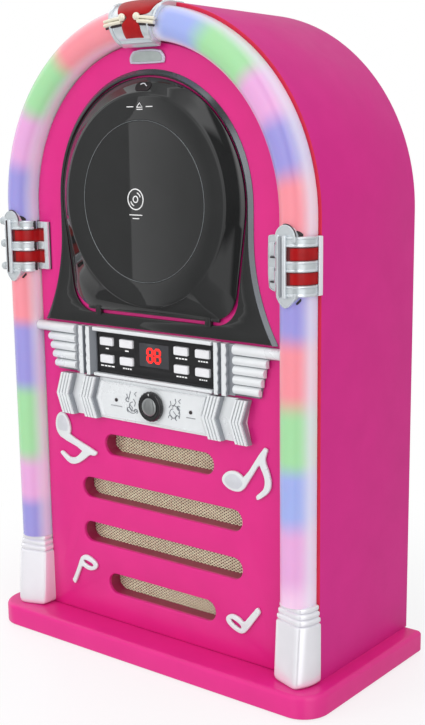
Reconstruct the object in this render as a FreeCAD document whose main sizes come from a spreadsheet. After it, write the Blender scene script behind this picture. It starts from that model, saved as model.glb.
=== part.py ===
import FreeCAD, Part
import math
import os
import Sketcher
from FreeCAD import Placement, Rotation, Vector

# Table-top arched disc jukebox, millimetres.
# Frame: +Z up, front faces -Y, +X to the right seen from the front.
# Origin: centre of the bounding box on the resting surface.

doc = FreeCAD.newDocument("jukebox")
sheet = doc.addObject("Spreadsheet::Sheet", "Dims")

DIMS = [
    # casing
    ("front", -46.0), ("back", 75.0), ("half_w", 144.0), ("wall", 3.0), ("arch_z", 339.0),
    ("plinth_half", 157.5), ("plinth_front", -75.0), ("plinth_top", 17.7), ("plinth_bottom", 1.0),
    ("plinth_corner", 24.0), ("plinth_edge", 3.0), ("foot_r", 9.0), ("foot_high", 2.0),
    ("panel_proud", 3.3), ("panel_half", 116.5), ("rim_half", 140.9), ("rim_inner", 112.0),
    ("screw_r", 1.5), ("screw_hole", 1.7), ("screw_head", 3.0),
    # loudspeaker slots
    ("slot_r", 8.1), ("slot_long", 79.2), ("slot_short", 53.8),
    ("slot_1", 160.8), ("slot_2", 123.0), ("slot_3", 86.8), ("slot_4", 48.6), ("collar_deep", 9.0),
    # light tubes
    ("tube_x", 129.4), ("tube_r", 11.9), ("tube_proud", 6.1), ("tube_wall", 1.8),
    ("base_top", 58.0), ("ring_step", 4.3), ("clamp_mid", 309.8), ("clip_angle", 7.0),
    # disc door and well
    ("disc_z", 346.0), ("door_r", 86.0), ("bell_r", 91.5), ("roundel_r", 75.0),
    ("door_low", 265.3), ("hinge_z", 266.5), ("hinge_y", -51.2), ("pin_r", 0.8), ("pin_bore", 0.85),
    ("well_r", 64.5), ("well_floor", 10.0), ("hub_r", 7.4), ("shaft_r", 1.0), ("shaft_bore", 1.05),
    # controls
    ("fascia_half", 57.0), ("fascia_low", 217.3), ("fascia_high", 248.5),
    ("key_half", 6.6), ("key_tall", 3.1), ("key_row_a", 241.2), ("key_row_b", 227.9),
    ("key_in", 26.6), ("key_out", 46.6), ("key_gap", 0.35),
    ("knob_r", 11.0), ("knob_z", 197.8), ("pot_bore", 3.06), ("pot_shaft", 3.0),
]
for i, (name, value) in enumerate(DIMS, 1):
    sheet.set("A%d" % i, name)
    sheet.set("B%d" % i, str(value))
    sheet.setAlias("B%d" % i, name)
doc.recompute()


class Q:
    """A dimension: its present value and the expression that gives it."""

    def __init__(self, val, text):
        self.val = float(val)
        self.text = text

    def _mix(self, other, sign, flip=False):
        o = other if isinstance(other, Q) else Q(other, "%.6g" % other)
        a, b = (o, self) if flip else (self, o)
        v = {"+": a.val + b.val, "-": a.val - b.val, "*": a.val * b.val}[sign]
        return Q(v, "(%s) %s (%s)" % (a.text, sign, b.text))

    def __add__(self, o): return self._mix(o, "+")
    def __radd__(self, o): return self._mix(o, "+", True)
    def __sub__(self, o): return self._mix(o, "-")
    def __rsub__(self, o): return self._mix(o, "-", True)
    def __mul__(self, o): return self._mix(o, "*")
    def __rmul__(self, o): return self._mix(o, "*", True)
    def __neg__(self): return Q(-self.val, "-(%s)" % self.text)


D = {name: Q(sheet.get(name), "Dims.%s" % name) for name, _ in DIMS}


def num(q):
    return q.val if isinstance(q, Q) else float(q)


def bind(obj, prop, q):
    if isinstance(q, Q):
        obj.setExpression(prop, q.text)
    else:
        obj.setExpression(prop, "%.6g" % q)


def Y(k):
    """A depth measured from the front edge of the casing."""
    return D["front"] + k


PARTS = []
serial = [0]


def uid(stem):
    serial[0] += 1
    return "%s_%03d" % (stem, serial[0])


def part(node, obj):
    obj.Label = node
    PARTS.append((node, obj))
    return obj


# ---- primitives ----------------------------------------------------------
def box(x0, x1, y0, y1, z0, z1):
    o = doc.addObject("Part::Box", uid("block"))
    bind(o, "Length", x1 - x0 if isinstance(x1, Q) or isinstance(x0, Q) else x1 - x0)
    bind(o, "Width", y1 - y0)
    bind(o, "Height", z1 - z0)
    o.Placement = Placement(Vector(num(x0), num(y0), num(z0)), Rotation())
    for ax, q in (("x", x0), ("y", y0), ("z", z0)):
        if isinstance(q, Q):
            o.setExpression("Placement.Base." + ax, q.text)
    return o


def cyl(axis, a, b, c0, c1, r, kind="Part::Cylinder", r2=None):
    """Round bar along axis; a, b are the other two coordinates in x, y, z order."""
    o = doc.addObject(kind, uid("round"))
    bind(o, "Height", c1 - c0)
    if kind == "Part::Cone":
        bind(o, "Radius1", r)
        bind(o, "Radius2", r2)
    else:
        bind(o, "Radius", r)
    if axis == "y":
        base, rot = (a, c0, b), Rotation(Vector(1, 0, 0), -90)
    elif axis == "x":
        base, rot = (c0, a, b), Rotation(Vector(0, 1, 0), 90)
    else:
        base, rot = (a, b, c0), Rotation()
    o.Placement = Placement(Vector(num(base[0]), num(base[1]), num(base[2])), rot)
    for ax, q in zip("xyz", base):
        if isinstance(q, Q):
            o.setExpression("Placement.Base." + ax, q.text)
    return o


def fuse(*objs):
    o = doc.addObject("Part::MultiFuse", uid("joined"))
    o.Shapes = list(objs)
    return o


def group(*objs):
    o = doc.addObject("Part::Compound", uid("set"))
    o.Links = list(objs)
    return o


def cut(base, *tools):
    o = doc.addObject("Part::Cut", uid("cut"))
    o.Base = base
    o.Tool = tools[0] if len(tools) == 1 else fuse(*tools)
    return o


def common(a, b):
    o = doc.addObject("Part::Common", uid("common"))
    o.Base = a
    o.Tool = b
    return o


# ---- sketches ------------------------------------------------------------
def loop(sk, verts):
    """Closed outline. Each entry is (x, y) for a straight run to that point,
    or (x, y, cx, cy, ccw) for an arc to it about a centre."""
    n = len(verts)
    geo, first = [], len(sk.Geometry)
    for i, v in enumerate(verts):
        p = verts[i - 1]
        a = Vector(num(p[0]), num(p[1]), 0)
        b = Vector(num(v[0]), num(v[1]), 0)
        if len(v) == 2:
            geo.append(Part.LineSegment(a, b))
        else:
            c = Vector(num(v[2]), num(v[3]), 0)
            r = (a - c).Length
            ta = math.atan2(a.y - c.y, a.x - c.x)
            tb = math.atan2(b.y - c.y, b.x - c.x)
            if not v[4]:
                ta, tb = tb, ta
            while tb <= ta + 1e-9:
                tb += 2 * math.pi
            geo.append(Part.ArcOfCircle(Part.Circle(c, Vector(0, 0, 1), r), ta, tb))
    sk.addGeometry(geo, False)

    def ends(i):
        v = verts[i % n]
        if len(v) == 2 or v[4]:
            return 1, 2
        return 2, 1

    cons, exprs = [], []
    base = len(sk.Constraints)

    def add(con, q=None):
        if isinstance(q, Q):
            exprs.append((base + len(cons), q.text))
        cons.append(con)

    for i, v in enumerate(verts):
        g = first + i
        nxt = first + (i + 1) % n
        add(Sketcher.Constraint("Coincident", g, ends(i)[1], nxt, ends(i + 1)[0]))
        for kind, q, axis in (("DistanceX", v[0], -2), ("DistanceY", v[1], -1)):
            if abs(num(q)) < 1e-9:
                add(Sketcher.Constraint("PointOnObject", g, ends(i)[1], axis))
            else:
                add(Sketcher.Constraint(kind, -1, 1, g, ends(i)[1], num(q)), q)
        if len(v) == 5:
            p = verts[i - 1]
            dx, dy = num(v[0]) - num(p[0]), num(v[1]) - num(p[1])
            if abs(dx) >= abs(dy):
                kind, q, axis = "DistanceY", v[3], -1
            else:
                kind, q, axis = "DistanceX", v[2], -2
            if abs(num(q)) < 1e-9:
                add(Sketcher.Constraint("PointOnObject", g, 3, axis))
            else:
                add(Sketcher.Constraint(kind, -1, 1, g, 3, num(q)), q)
    sk.addConstraint(cons)
    for idx, text in exprs:
        sk.setExpression("Constraints[%d]" % idx, text)


def ring_hole(sk, cx, cy, r):
    g = len(sk.Geometry)
    sk.addGeometry(Part.Circle(Vector(num(cx), num(cy), 0), Vector(0, 0, 1), num(r)), False)
    for kind, q, axis in (("DistanceX", cx, -2), ("DistanceY", cy, -1)):
        if abs(num(q)) < 1e-9:
            sk.addConstraint(Sketcher.Constraint("PointOnObject", g, 3, axis))
        else:
            k = sk.addConstraint(Sketcher.Constraint(kind, -1, 1, g, 3, num(q)))
            if isinstance(q, Q):
                sk.setExpression("Constraints[%d]" % k, q.text)
    k = sk.addConstraint(Sketcher.Constraint("Radius", g, num(r)))
    if isinstance(r, Q):
        sk.setExpression("Constraints[%d]" % k, r.text)


def new_body(stem):
    return doc.addObject("PartDesign::Body", uid(stem))


def sketch(body, plane, at, loops, shift_v=None):
    sk = body.newObject("Sketcher::SketchObject", uid("outline"))
    for f in body.Origin.OriginFeatures:
        if f.Role == plane:
            sk.AttachmentSupport = [(f, "")]
    sk.MapMode = "FlatFace"
    sign = -1.0 if plane == "XZ_Plane" else 1.0
    off = at * sign if isinstance(at, Q) else at * sign
    sk.AttachmentOffset = Placement(Vector(0, num(shift_v) if shift_v is not None else 0, num(off)), Rotation())
    if isinstance(off, Q):
        sk.setExpression("AttachmentOffset.Base.z", off.text)
    if isinstance(shift_v, Q):
        sk.setExpression("AttachmentOffset.Base.y", shift_v.text)
    for lp in loops:
        if isinstance(lp, tuple):
            ring_hole(sk, *lp)
        else:
            loop(sk, lp)
    return sk


def pad(body, plane, lo, hi, loops):
    """Slab between lo and hi along the plane's axis (Y for XZ, Z for XY, X for YZ)."""
    sk = sketch(body, plane, lo, loops)
    p = body.newObject("PartDesign::Pad", uid("pad"))
    p.Profile = sk
    bind(p, "Length", hi - lo)
    p.Reversed = plane == "XZ_Plane"
    body.Tip = p
    return p


def pocket(body, plane, lo, hi, loops):
    sk = sketch(body, plane, lo, loops)
    p = body.newObject("PartDesign::Pocket", uid("pocket"))
    p.Profile = sk
    bind(p, "Length", hi - lo)
    p.Reversed = plane != "XZ_Plane"
    body.Tip = p
    return p


def round_edges(body, radius, test):
    """Fillet every edge of the body's present tip that the test picks."""
    doc.recompute()
    tip = body.Tip
    names = []
    for i, e in enumerate(tip.Shape.Edges, 1):
        if test(e):
            names.append("Edge%d" % i)
    if not names:
        raise RuntimeError("no edges to round on " + body.Name)
    f = body.newObject("PartDesign::Fillet", uid("fillet"))
    f.Base = (tip, names)
    bind(f, "Radius", radius)
    body.Tip = f
    return f


def slab(plane, lo, hi, *loops):
    b = new_body("body")
    pad(b, plane, lo, hi, list(loops))
    return b


def arch(half, low, cz):
    """Arched outline: straight sides up to cz, half circle above."""
    return [(half, low), (half, cz), (-half, cz, 0.0, cz, True), (-half, low)]


def rect(x0, x1, z0, z1):
    return [(x0, z0), (x1, z0), (x1, z1), (x0, z1)]


def stadium(half, cz, r, cx=0.0):
    return [(cx + half - r, cz - r), (cx + half - r, cz + r, cx + half - r, cz, True),
            (cx - (half - r), cz + r), (cx - (half - r), cz - r, cx - (half - r), cz, True)]


def facing(e, axis, value, tol=0.05):
    bb = e.BoundBox
    lo, hi = {"x": (bb.XMin, bb.XMax), "y": (bb.YMin, bb.YMax), "z": (bb.ZMin, bb.ZMax)}[axis]
    return abs(lo - value) < tol and abs(hi - value) < tol


ph, pf, pc = D["plinth_half"], D["plinth_front"], D["plinth_corner"]

# ---- plinth: a moulded tray, open underneath ------------------------------
def plinth_outline(inset):
    hx, fy, by, r = ph - inset, pf + inset, D["back"] - inset, pc - inset
    return [(hx, by), (-hx, by), (-hx, fy + r), (-(hx - r), fy, -(hx - r), fy + r, True),
            (hx - r, fy), (hx, fy + r, hx - r, fy + r, True)]


b = new_body("plinth")
pad(b, "XY_Plane", D["plinth_bottom"], D["plinth_top"], [plinth_outline(0.0)])
round_edges(b, D["plinth_edge"], lambda e: facing(e, "z", 17.7) and e.BoundBox.YMin < 70)
pocket(b, "XY_Plane", D["plinth_bottom"], D["plinth_top"] - 3.5, [plinth_outline(3.2)])
SCREW_XY = [(-140, -50), (140, -50), (-140, 55), (140, 55), (0, -60), (0, 60)]
posts = []
for x, y in SCREW_XY:
    posts.append(cut(cyl("z", x, y, D["foot_high"] + 3.0, D["plinth_top"] - 3.4, 4.0),
                     cyl("z", x, y, D["foot_high"] + 2.0, D["plinth_top"] - 3.5, D["screw_r"] + 0.02)))
part("plinth", fuse(b, *posts))

base = slab("XY_Plane", D["foot_high"], D["foot_high"] + 3.0, plinth_outline(3.4))
holes = []
for x, y in SCREW_XY:
    holes.append(cyl("z", x, y, D["foot_high"] - 1.0, D["foot_high"] + 4.0, D["screw_hole"]))
part("base_plate", cut(base, *holes))

feet = []
for x, y in ((-125, -45), (125, -45), (-125, 50), (125, 50)):
    feet.append(fuse(cyl("z", x, y, 0.0, D["foot_high"] - 1.2, D["foot_r"] - 0.6, "Part::Cone", D["foot_r"]),
                     cyl("z", x, y, D["foot_high"] - 1.2, D["foot_high"], D["foot_r"])))
part("rubber_feet", group(*feet))

# ---- cabinet shell: arched wrap with a floor ------------------------------
b = new_body("cabinet_shell")
hw, az, w = D["half_w"], D["arch_z"], D["wall"]
pt = D["plinth_top"]
pad(b, "XZ_Plane", D["front"], D["back"], [arch(hw, pt, az), arch(hw - w, pt + w, az)])
round_edges(b, 0.8, lambda e: facing(e, "y", -46.0) and (abs(e.BoundBox.XMax - 144) < 0.05 or abs(e.BoundBox.XMin + 144) < 0.05) and e.BoundBox.ZMax > 60)
bosses = []
BACK_SCREWS = [(-137.4, 30), (137.4, 30), (-137.4, 180), (137.4, 180), (-137.4, 335), (137.4, 335), (-97.4, 436.4), (97.4, 436.4)]
for x, z in BACK_SCREWS:
    bosses.append(cut(cyl("y", x, z, D["back"] - 18.0, D["back"] - 6.0, 4.6), cyl("y", x, z, D["back"] - 17.0, D["back"] - 5.0, D["screw_r"] + 0.02)))
part("cabinet_shell", fuse(b, *bosses))

# ---- back panel with vents and cut-outs -----------------------------------
vents = []
for k in range(9):
    vents.append(stadium(50.0, 372.0 - 9.0 * k, 2.0))
b = new_body("back_panel")
pad(b, "XZ_Plane", D["back"] - 6.0, D["back"] - 3.0, [arch(hw - w - 0.3, pt + w + 0.3, az)])
pocket(b, "XZ_Plane", D["back"] - 6.5, D["back"] - 2.5,
       vents + [rect(-98.0, -74.0, 42.0, 58.0), rect(-60.0, -46.0, 40.0, 61.0),
                (60.0, 50.0, 4.3), (78.0, 50.0, 4.3), (96.0, 50.0, 3.3)] +
       [(x, z, D["screw_hole"]) for x, z in BACK_SCREWS])
part("back_panel", b)

screws = []
for x, z in BACK_SCREWS:
    screws.append(fuse(cyl("y", x, z, D["back"] - 3.0, D["back"] - 1.0, D["screw_head"]),
                       cyl("y", x, z, D["back"] - 15.0, D["back"] - 2.5, D["screw_r"])))
for x, y in SCREW_XY:
    screws.append(fuse(cyl("z", x, y, D["foot_high"] - 0.9, D["foot_high"], D["screw_head"]),
                       cyl("z", x, y, D["foot_high"] - 0.2, D["plinth_top"] - 3.5, D["screw_r"])))
part("case_screws", group(*screws))

# ---- front panel: proud field, seat rim for the tubes, slot collars --------
SLOTS = [(D["slot_short"], D["slot_1"]), (D["slot_long"], D["slot_2"]),
         (D["slot_long"], D["slot_3"]), (D["slot_short"], D["slot_4"])]
pp = D["panel_proud"]
b = new_body("front_panel")
field_holes = [stadium(h, z, D["slot_r"]) for h, z in SLOTS]
field_holes += [(0.0, D["disc_z"], 68.0), rect(-56.0, 56.0, 219.0, 247.0), (0.0, D["knob_z"], 4.2),
                (36.4, 198.0, 1.7), (-36.4, 198.0, 1.7), rect(-4.5, 4.5, 420.5, 429.0)]
pad(b, "XZ_Plane", Y(-pp), Y(0.2), [arch(D["panel_half"], pt + w + 0.1, az)] + field_holes)
pad(b, "XZ_Plane", Y(0.0), Y(3.0), [arch(D["rim_half"], pt + w + 0.1, az), arch(D["rim_inner"], pt + w + 5.0, az)])
for h, z in SLOTS:
    pad(b, "XZ_Plane", Y(0.0), Y(D["collar_deep"]), [stadium(h + 1.8, z, D["slot_r"] + 1.8), stadium(h, z, D["slot_r"])])
part("front_panel", b)

part("grille_mesh", slab("XZ_Plane", Y(9.0), Y(10.0), rect(-86.0, 86.0, 34.0, 176.0)))

# ---- loudspeakers ----------------------------------------------------------
baskets, cones = [], []
for sx in (-46.0, 46.0):
    fl = cut(cyl("y", sx, 105.0, Y(10.0), Y(13.6), 42.0), cyl("y", sx, 105.0, Y(9.5), Y(14.0), 35.0))
    shell_o = cyl("y", sx, 105.0, Y(13.4), Y(34.0), 36.6, "Part::Cone", 18.0)
    shell_i = cyl("y", sx, 105.0, Y(13.0), Y(32.0), 35.2, "Part::Cone", 15.6)
    mag = cyl("y", sx, 105.0, Y(33.5), Y(48.0), 24.0)
    baskets.append(cut(fuse(fl, cut(shell_o, shell_i), mag), cyl("y", sx, 105.0, Y(30.0), Y(44.0), 9.8)))
    co = cyl("y", sx, 105.0, Y(13.0), Y(28.0), 33.6, "Part::Cone", 9.0)
    ci = cyl("y", sx, 105.0, Y(12.5), Y(27.2), 33.2, "Part::Cone", 8.4)
    cap = cyl("y", sx, 105.0, Y(25.0), Y(29.0), 9.4)
    rim = cut(cyl("y", sx, 105.0, Y(12.0), Y(13.4), 34.95), cyl("y", sx, 105.0, Y(11.0), Y(14.0), 31.5))
    cones.append(fuse(cut(co, ci), cap, rim, cyl("y", sx, 105.0, Y(28.0), Y(42.0), 9.2)))
part("speaker_drivers", group(*baskets))
part("speaker_cones", group(*cones))

# ---- light tubes: hollow D section, columns and arch quarters --------------
tx, tr, tp, tw = D["tube_x"], D["tube_r"], D["tube_proud"], D["tube_wall"]


def d_section(s, r, inner):
    """Open-backed D on the XY plane about the tube axis at x = s*tube_x."""
    c = tx * s
    yc = Y(-tp)
    return [(c + r, Y(0.0)), (c + inner, Y(0.0)), (c + inner, yc),
            (c - inner, yc, c, yc, False), (c - inner, Y(0.0)), (c - r, Y(0.0)), (c - r, yc),
            (c + r, yc, c, yc, True)]


def arch_tube(s, r, inner, degrees, down):
    b = new_body("arch")
    sk = sketch(b, "XY_Plane", az, [d_section(s, r, inner)])
    rv = b.newObject("PartDesign::Revolution", uid("turn"))
    rv.Profile = sk
    rv.ReferenceAxis = (sk, ["V_Axis"])
    bind(rv, "Angle", degrees)
    rv.Reversed = s > 0
    b.Tip = rv
    if down is not None:
        pad(b, "XY_Plane", down, az, [d_section(s, r, inner)])
    return b


for s, side in ((-1.0, "left"), (1.0, "right")):
    part("light_tube_" + side, slab("XY_Plane", D["base_top"] + 4.0 * D["ring_step"] + 0.2, D["clamp_mid"] - 0.2,
                                    d_section(s, tr, tr - tw)))
    part("light_arch_" + side, arch_tube(s, tr, tr - tw, 90.0 - D["clip_angle"] + 6.0, D["clamp_mid"] + 0.2))


def strip_section(s):
    c = tx * s
    return [(c - 5.0, Y(-1.8)), (c + 5.0, Y(-1.8)), (c + 5.0, Y(0.0)), (c - 5.0, Y(0.0))]


strips = []
for s in (-1.0, 1.0):
    col = [slab("XY_Plane", 80.0, 300.0, strip_section(s))]
    for k in range(12):
        col.append(box(s * tx - 2.0, s * tx + 2.0, Y(-2.8), Y(-1.6), 88.0 + 18.0 * k, 92.0 + 18.0 * k))
    strips.append(fuse(*col))
    b = new_body("arch")
    sk = sketch(b, "XY_Plane", az, [strip_section(s)])
    rv = b.newObject("PartDesign::Revolution", uid("turn"))
    rv.Profile = sk
    rv.ReferenceAxis = (sk, ["V_Axis"])
    rv.Angle = 82.0
    rv.Reversed = s > 0
    b.Tip = rv
    strips.append(b)
part("led_strips", group(*strips))

# ---- column bases: ogival stepped plinths of the tubes ---------------------
for s, side in ((-1.0, "left"), (1.0, "right")):
    def ogive(grow):
        """Front outline of the base: two arcs meeting at a soft ridge."""
        xi, xo, mid = 115.0 - grow, 146.0 + grow, 130.5
        fy, sy = -20.5 - grow, -4.6
        # arc centre for the outer half: through (xo, sy) and (mid, fy)
        r = 19.0 + grow
        mx, my = (xo + mid) / 2.0, (sy + fy) / 2.0
        dx, dy = xo - mid, sy - fy
        d = math.hypot(dx, dy)
        k = math.sqrt(r * r - d * d / 4.0) / d
        cx, cy = mx - dy * k, my + dx * k
        ccx = 2 * mid - cx
        pts = [(xo, Y(0.0)), (116.7, Y(0.0)), (116.7, Y(-3.5)), (xi, Y(-3.5)), (xi, Y(sy)),
               (mid, Y(fy), ccx, Y(cy), True), (xo, Y(sy), cx, Y(cy), True)]
        if s > 0:
            return pts
        flip = [(-p[0], p[1]) if len(p) == 2 else (-p[0], p[1], -p[2], p[3], p[4]) for p in pts]
        out = []
        n = len(flip)
        for i in range(n):
            cur = flip[n - 1 - i]
            prv = flip[(n - i) % n]
            if len(prv) == 5:
                out.append((cur[0], cur[1], prv[2], prv[3], True))
            else:
                out.append((cur[0], cur[1]))
        return out
    col = new_body("column_base")
    pad(col, "XY_Plane", pt + 0.05, D["base_top"], [ogive(0.0)])
    prof = new_body("column_cut")
    xi, xo, rr = 114.0, 147.0, 6.0
    z0 = pt + 0.05
    pr = [(s * xo, D["base_top"] + 5.0), (s * xi, D["base_top"] + 5.0), (s * xi, z0 + rr + 1.0),
          (s * (xi + rr + 1.0), z0, s * (xi + rr + 1.0), z0 + rr + 1.0, s > 0), (s * (xo - rr), z0),
          (s * xo, z0 + rr, s * (xo - rr), z0 + rr, s > 0)]
    pad(prof, "XZ_Plane", Y(-30.0), Y(5.0), [pr])
    solids = [common(col, prof)]
    for k in range(4):
        lo = D["base_top"] + D["ring_step"] * float(k)
        neck = -2.6 + 0.15 * (3 - k)
        ringb = new_body("ring")
        pad(ringb, "XY_Plane", lo - 0.02, lo + 1.2, [ogive(neck - 0.5 - 0.42 * k)])
        solids.append(ringb)
        ringc = new_body("ring")
        pad(ringc, "XY_Plane", lo + 1.0, lo + D["ring_step"], [ogive(-0.55 * (k + 1))])
        solids.append(ringc)
    part("column_base_" + side, fuse(*solids))

# ---- side clamps around the tubes -----------------------------------------
inserts = []
for s, side in ((-1.0, "left"), (1.0, "right")):
    c = tx * s
    ro, ri = tr + 2.7, tr + 0.1
    yc = Y(-tp)
    sec = [(c + ro, Y(-3.5)), (c + ri, Y(-3.5)), (c + ri, yc), (c - ri, yc, c, yc, False),
           (c - ri, Y(-3.5)), (c - ro, Y(-3.5)), (c - ro, yc), (c + ro, yc, c, yc, True)]
    cuff = slab("XY_Plane", 279.0, 342.0, sec)
    front = [(c - 15.0, 289.5), (c - 10.0, 289.5), (c - 5.0, 284.0), (c - 1.8, 282.6), (c + 2.5, 284.6), (c + 6.5, 289.5),
             (c + 15.0, 289.5), (c + 15.0, 330.2), (c + 6.2, 330.2), (c - 9.8, 330.2, c - 1.8, 330.2, True), (c - 15.0, 330.2)]
    wins = [rect(c - 8.6, c + 12.6, 298.0, 306.3), rect(c - 8.6, c + 12.6, 314.2, 322.5)]
    stencil = slab("XZ_Plane", Y(-30.0), Y(4.0), front, *wins)
    bits = [common(cuff, stencil)]
    # double upright on the left of the windows
    for u in (-12.6, -9.6):
        bits.append(cyl("z", c + u, Y(-13.4 if u < -11 else -16.2), 289.5, 330.2, 1.5))
    # left plate with three knuckles
    for z in (293.0, 310.2, 326.3):
        bits.append(box(c - 22.0, c - 14.2, Y(-6.6), Y(-3.45), z - 3.4, z + 3.4))
        bits.append(cyl("y", c - 22.0, z, Y(-6.9), Y(-3.45), 3.6))
    bits.append(box(c - 18.6, c - 14.2, Y(-5.6), Y(-3.45), 291.0, 328.0))
    if s < 0:
        bits.append(box(c + 14.3, c + 24.4, Y(-5.6), Y(-3.45), 289.5, 330.2))
    else:
        bits.append(box(c + 14.3, c + 17.6, Y(-6.4), Y(-3.3), 289.5, 330.2))
        bits.append(box(hw + 0.2, c + 17.6, Y(-4.0), Y(5.0), 289.5, 330.2))
    part("side_clamp_" + side, fuse(*bits))
    rs = tr + 1.6
    sec_i = [(c + rs, Y(-3.5)), (c + ri, Y(-3.5)), (c + ri, yc), (c - ri, yc, c, yc, False),
             (c - ri, Y(-3.5)), (c - rs, Y(-3.5)), (c - rs, yc), (c + rs, yc, c, yc, True)]
    for z0, z1 in ((298.0, 306.3), (314.2, 322.5)):
        ring_i = slab("XY_Plane", z0, z1, sec_i)
        inserts.append(common(ring_i, box(c - 8.0, c + 12.6, Y(-25.0), Y(-3.3), z0 - 1.0, z1 + 1.0)))
part("clamp_inserts", group(*inserts))


# ---- crown clip over the top of the arch ----------------------------------
def saddle(r, inner, y_back, degrees):
    """D-shaped cuff swept about the arch centre, section on the middle plane."""
    b = new_body("saddle")
    yc, zc = Y(-tp), tx
    sk = b.newObject("Sketcher::SketchObject", uid("outline"))
    for f in b.Origin.OriginFeatures:
        if f.Role == "YZ_Plane":
            sk.AttachmentSupport = [(f, "")]
    sk.MapMode = "FlatFace"
    sk.AttachmentOffset = Placement(Vector(0, num(az), 0), Rotation())
    sk.setExpression("AttachmentOffset.Base.y", az.text)
    loop(sk, [(Y(y_back), zc + r), (Y(y_back), zc + inner), (yc, zc + inner),
              (yc, zc - inner, yc, zc, True), (Y(-3.5), zc - inner), (Y(-3.5), zc - r), (yc, zc - r),
              (yc, zc + r, yc, zc, False)])
    rv = b.newObject("PartDesign::Revolution", uid("turn"))
    rv.Profile = sk
    rv.ReferenceAxis = (sk, ["H_Axis"])
    bind(rv, "Angle", degrees)
    rv.Midplane = True
    b.Tip = rv
    return b


outer = saddle(tr + 2.9, tr + 0.1, -0.1, 14.0)
win_f = slab("XZ_Plane", Y(-40.0), Y(-5.0), [(-7.0, 459.0), (7.0, 459.0), (10.0, 469.0), (2.5, 471.5), (9.5, 475.0), (12.0, 500.0),
                                            (-12.0, 500.0), (-9.5, 475.0), (-2.5, 471.5), (-10.0, 469.0)])
top = box(-17.0, 17.0, Y(-0.5), Y(12.0), 482.9 + 0.15, 485.6)
part("crown_clip", fuse(cut(outer, win_f), cut(top, cyl("y", 0.0, az, Y(-5.0), Y(20.0), hw + 0.1))))
inner = saddle(tr + 1.7, tr + 0.15, -4.8, 11.0)
part("crown_insert", common(inner, slab("XZ_Plane", Y(-40.0), Y(-5.0), [(-7.0, 459.0), (7.0, 459.0), (10.0, 469.0), (2.5, 471.5), (9.5, 475.0),
                                                                    (12.0, 500.0), (-12.0, 500.0), (-9.5, 475.0), (-2.5, 471.5), (-10.0, 469.0)])))

part("badge_plate", slab("XZ_Plane", Y(-pp - 1.8), Y(-pp), [(-16.3, 439.8), (16.3, 439.8), (16.3, 446.5), (11.5, 450.9), (-11.5, 450.9), (-16.3, 446.5)]))

# ---- raised music notes ----------------------------------------------------
NOTE_A = [(-98.6, 180.3), (-94.6, 179.4), (-91.9, 176.7), (-89.8, 172.9), (-88.8, 168.6), (-89.2, 165.1), (-90.3, 162.7), (-61.4, 153.5), (-60.8, 152.2), (-62.5, 149.9), (-65.7, 149.6), (-68.5, 149.8), (-74.3, 145.3), (-80.1, 141.6), (-85.8, 139.5), (-90.1, 139.5), (-94.3, 141.4), (-101.2, 146.6), (-100.1, 148.3), (-98.2, 148.8), (-94.0, 146.3), (-89.3, 144.4), (-83.6, 145.7), (-79.7, 148.6), (-75.8, 152.6), (-99.1, 159.1), (-103.2, 162.7), (-104.9, 167.3), (-104.9, 171.5), (-103.9, 175.4), (-101.8, 178.4)]
NOTE_B = [(82.9, 156.4), (79.4, 159.0), (75.6, 160.4), (71.7, 160.4), (67.4, 158.9), (64.2, 156.1), (62.8, 153.3), (63.1, 150.8), (65.3, 148.3), (68.8, 146.4), (73.1, 145.5), (77.0, 145.6), (80.1, 146.6), (83.2, 149.2), (85.5, 152.8), (91.0, 160.9), (96.1, 168.7), (97.8, 165.5), (99.7, 162.1), (100.8, 158.5), (100.9, 155.4), (100.0, 151.8), (97.3, 148.9), (93.5, 145.7), (93.3, 144.4), (94.2, 142.3), (98.4, 144.7), (103.0, 148.3), (105.6, 151.9), (106.5, 155.8), (106.0, 160.0), (104.5, 164.8), (101.9, 169.9), (101.4, 173.2), (102.4, 176.8), (103.7, 180.1), (102.4, 181.1), (99.8, 181.3)]
NOTE_C = [(-90.2, 39.6), (-93.0, 42.5), (-90.8, 45.5), (-86.4, 54.6), (-83.0, 62.8), (-80.8, 65.1), (-77.8, 66.5), (-74.8, 66.6), (-72.7, 66.1), (-69.0, 64.7), (-65.8, 62.7), (-64.2, 60.4), (-64.9, 58.0), (-67.0, 56.0), (-70.6, 54.7), (-74.2, 54.4), (-77.7, 55.2), (-81.2, 56.4), (-83.2, 52.9), (-85.9, 47.1), (-88.9, 40.9)]
NOTE_C_EYE = [(-79.8, 61.5), (-78.0, 62.3), (-73.2, 61.8), (-69.5, 60.6), (-68.6, 59.4), (-69.9, 58.0), (-72.2, 57.9), (-75.8, 58.5), (-78.7, 59.7)]
NOTE_D = [(92.8, 62.2), (94.5, 62.6), (96.3, 60.1), (96.1, 58.4), (91.6, 52.4), (86.1, 44.9), (82.7, 40.8), (81.0, 39.9), (78.7, 39.2), (75.9, 39.6), (72.0, 40.9), (68.3, 42.9), (65.8, 45.1), (65.0, 47.3), (65.6, 49.3), (67.6, 51.2), (70.5, 52.4), (73.8, 52.3), (77.8, 51.1), (81.6, 48.1), (86.1, 53.9), (90.0, 58.5)]
NOTE_D_EYE = [(69.6, 48.4), (71.0, 48.7), (74.9, 47.6), (78.3, 46.0), (79.5, 44.2), (78.5, 42.8), (76.0, 43.4), (72.1, 45.0), (69.8, 46.8)]
part("music_notes", group(*[slab("XZ_Plane", Y(-pp - 2.4), Y(-pp), *lp) for lp in
                            ([NOTE_A], [NOTE_B], [NOTE_C, NOTE_C_EYE], [NOTE_D, NOTE_D_EYE])]))

# ---- disc door: surround, flap, roundel, hinge -----------------------------
dz, br, dr = D["disc_z"], D["bell_r"], D["door_r"]
BELL_OUT = [(112.0, 253.2), (br, 325.0, br + 136.7, 325.0, False), (br, dz), (-br, dz, 0.0, dz, True),
            (-br, 325.0), (-112.0, 253.2, -(br + 136.7), 325.0, False)]


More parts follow.
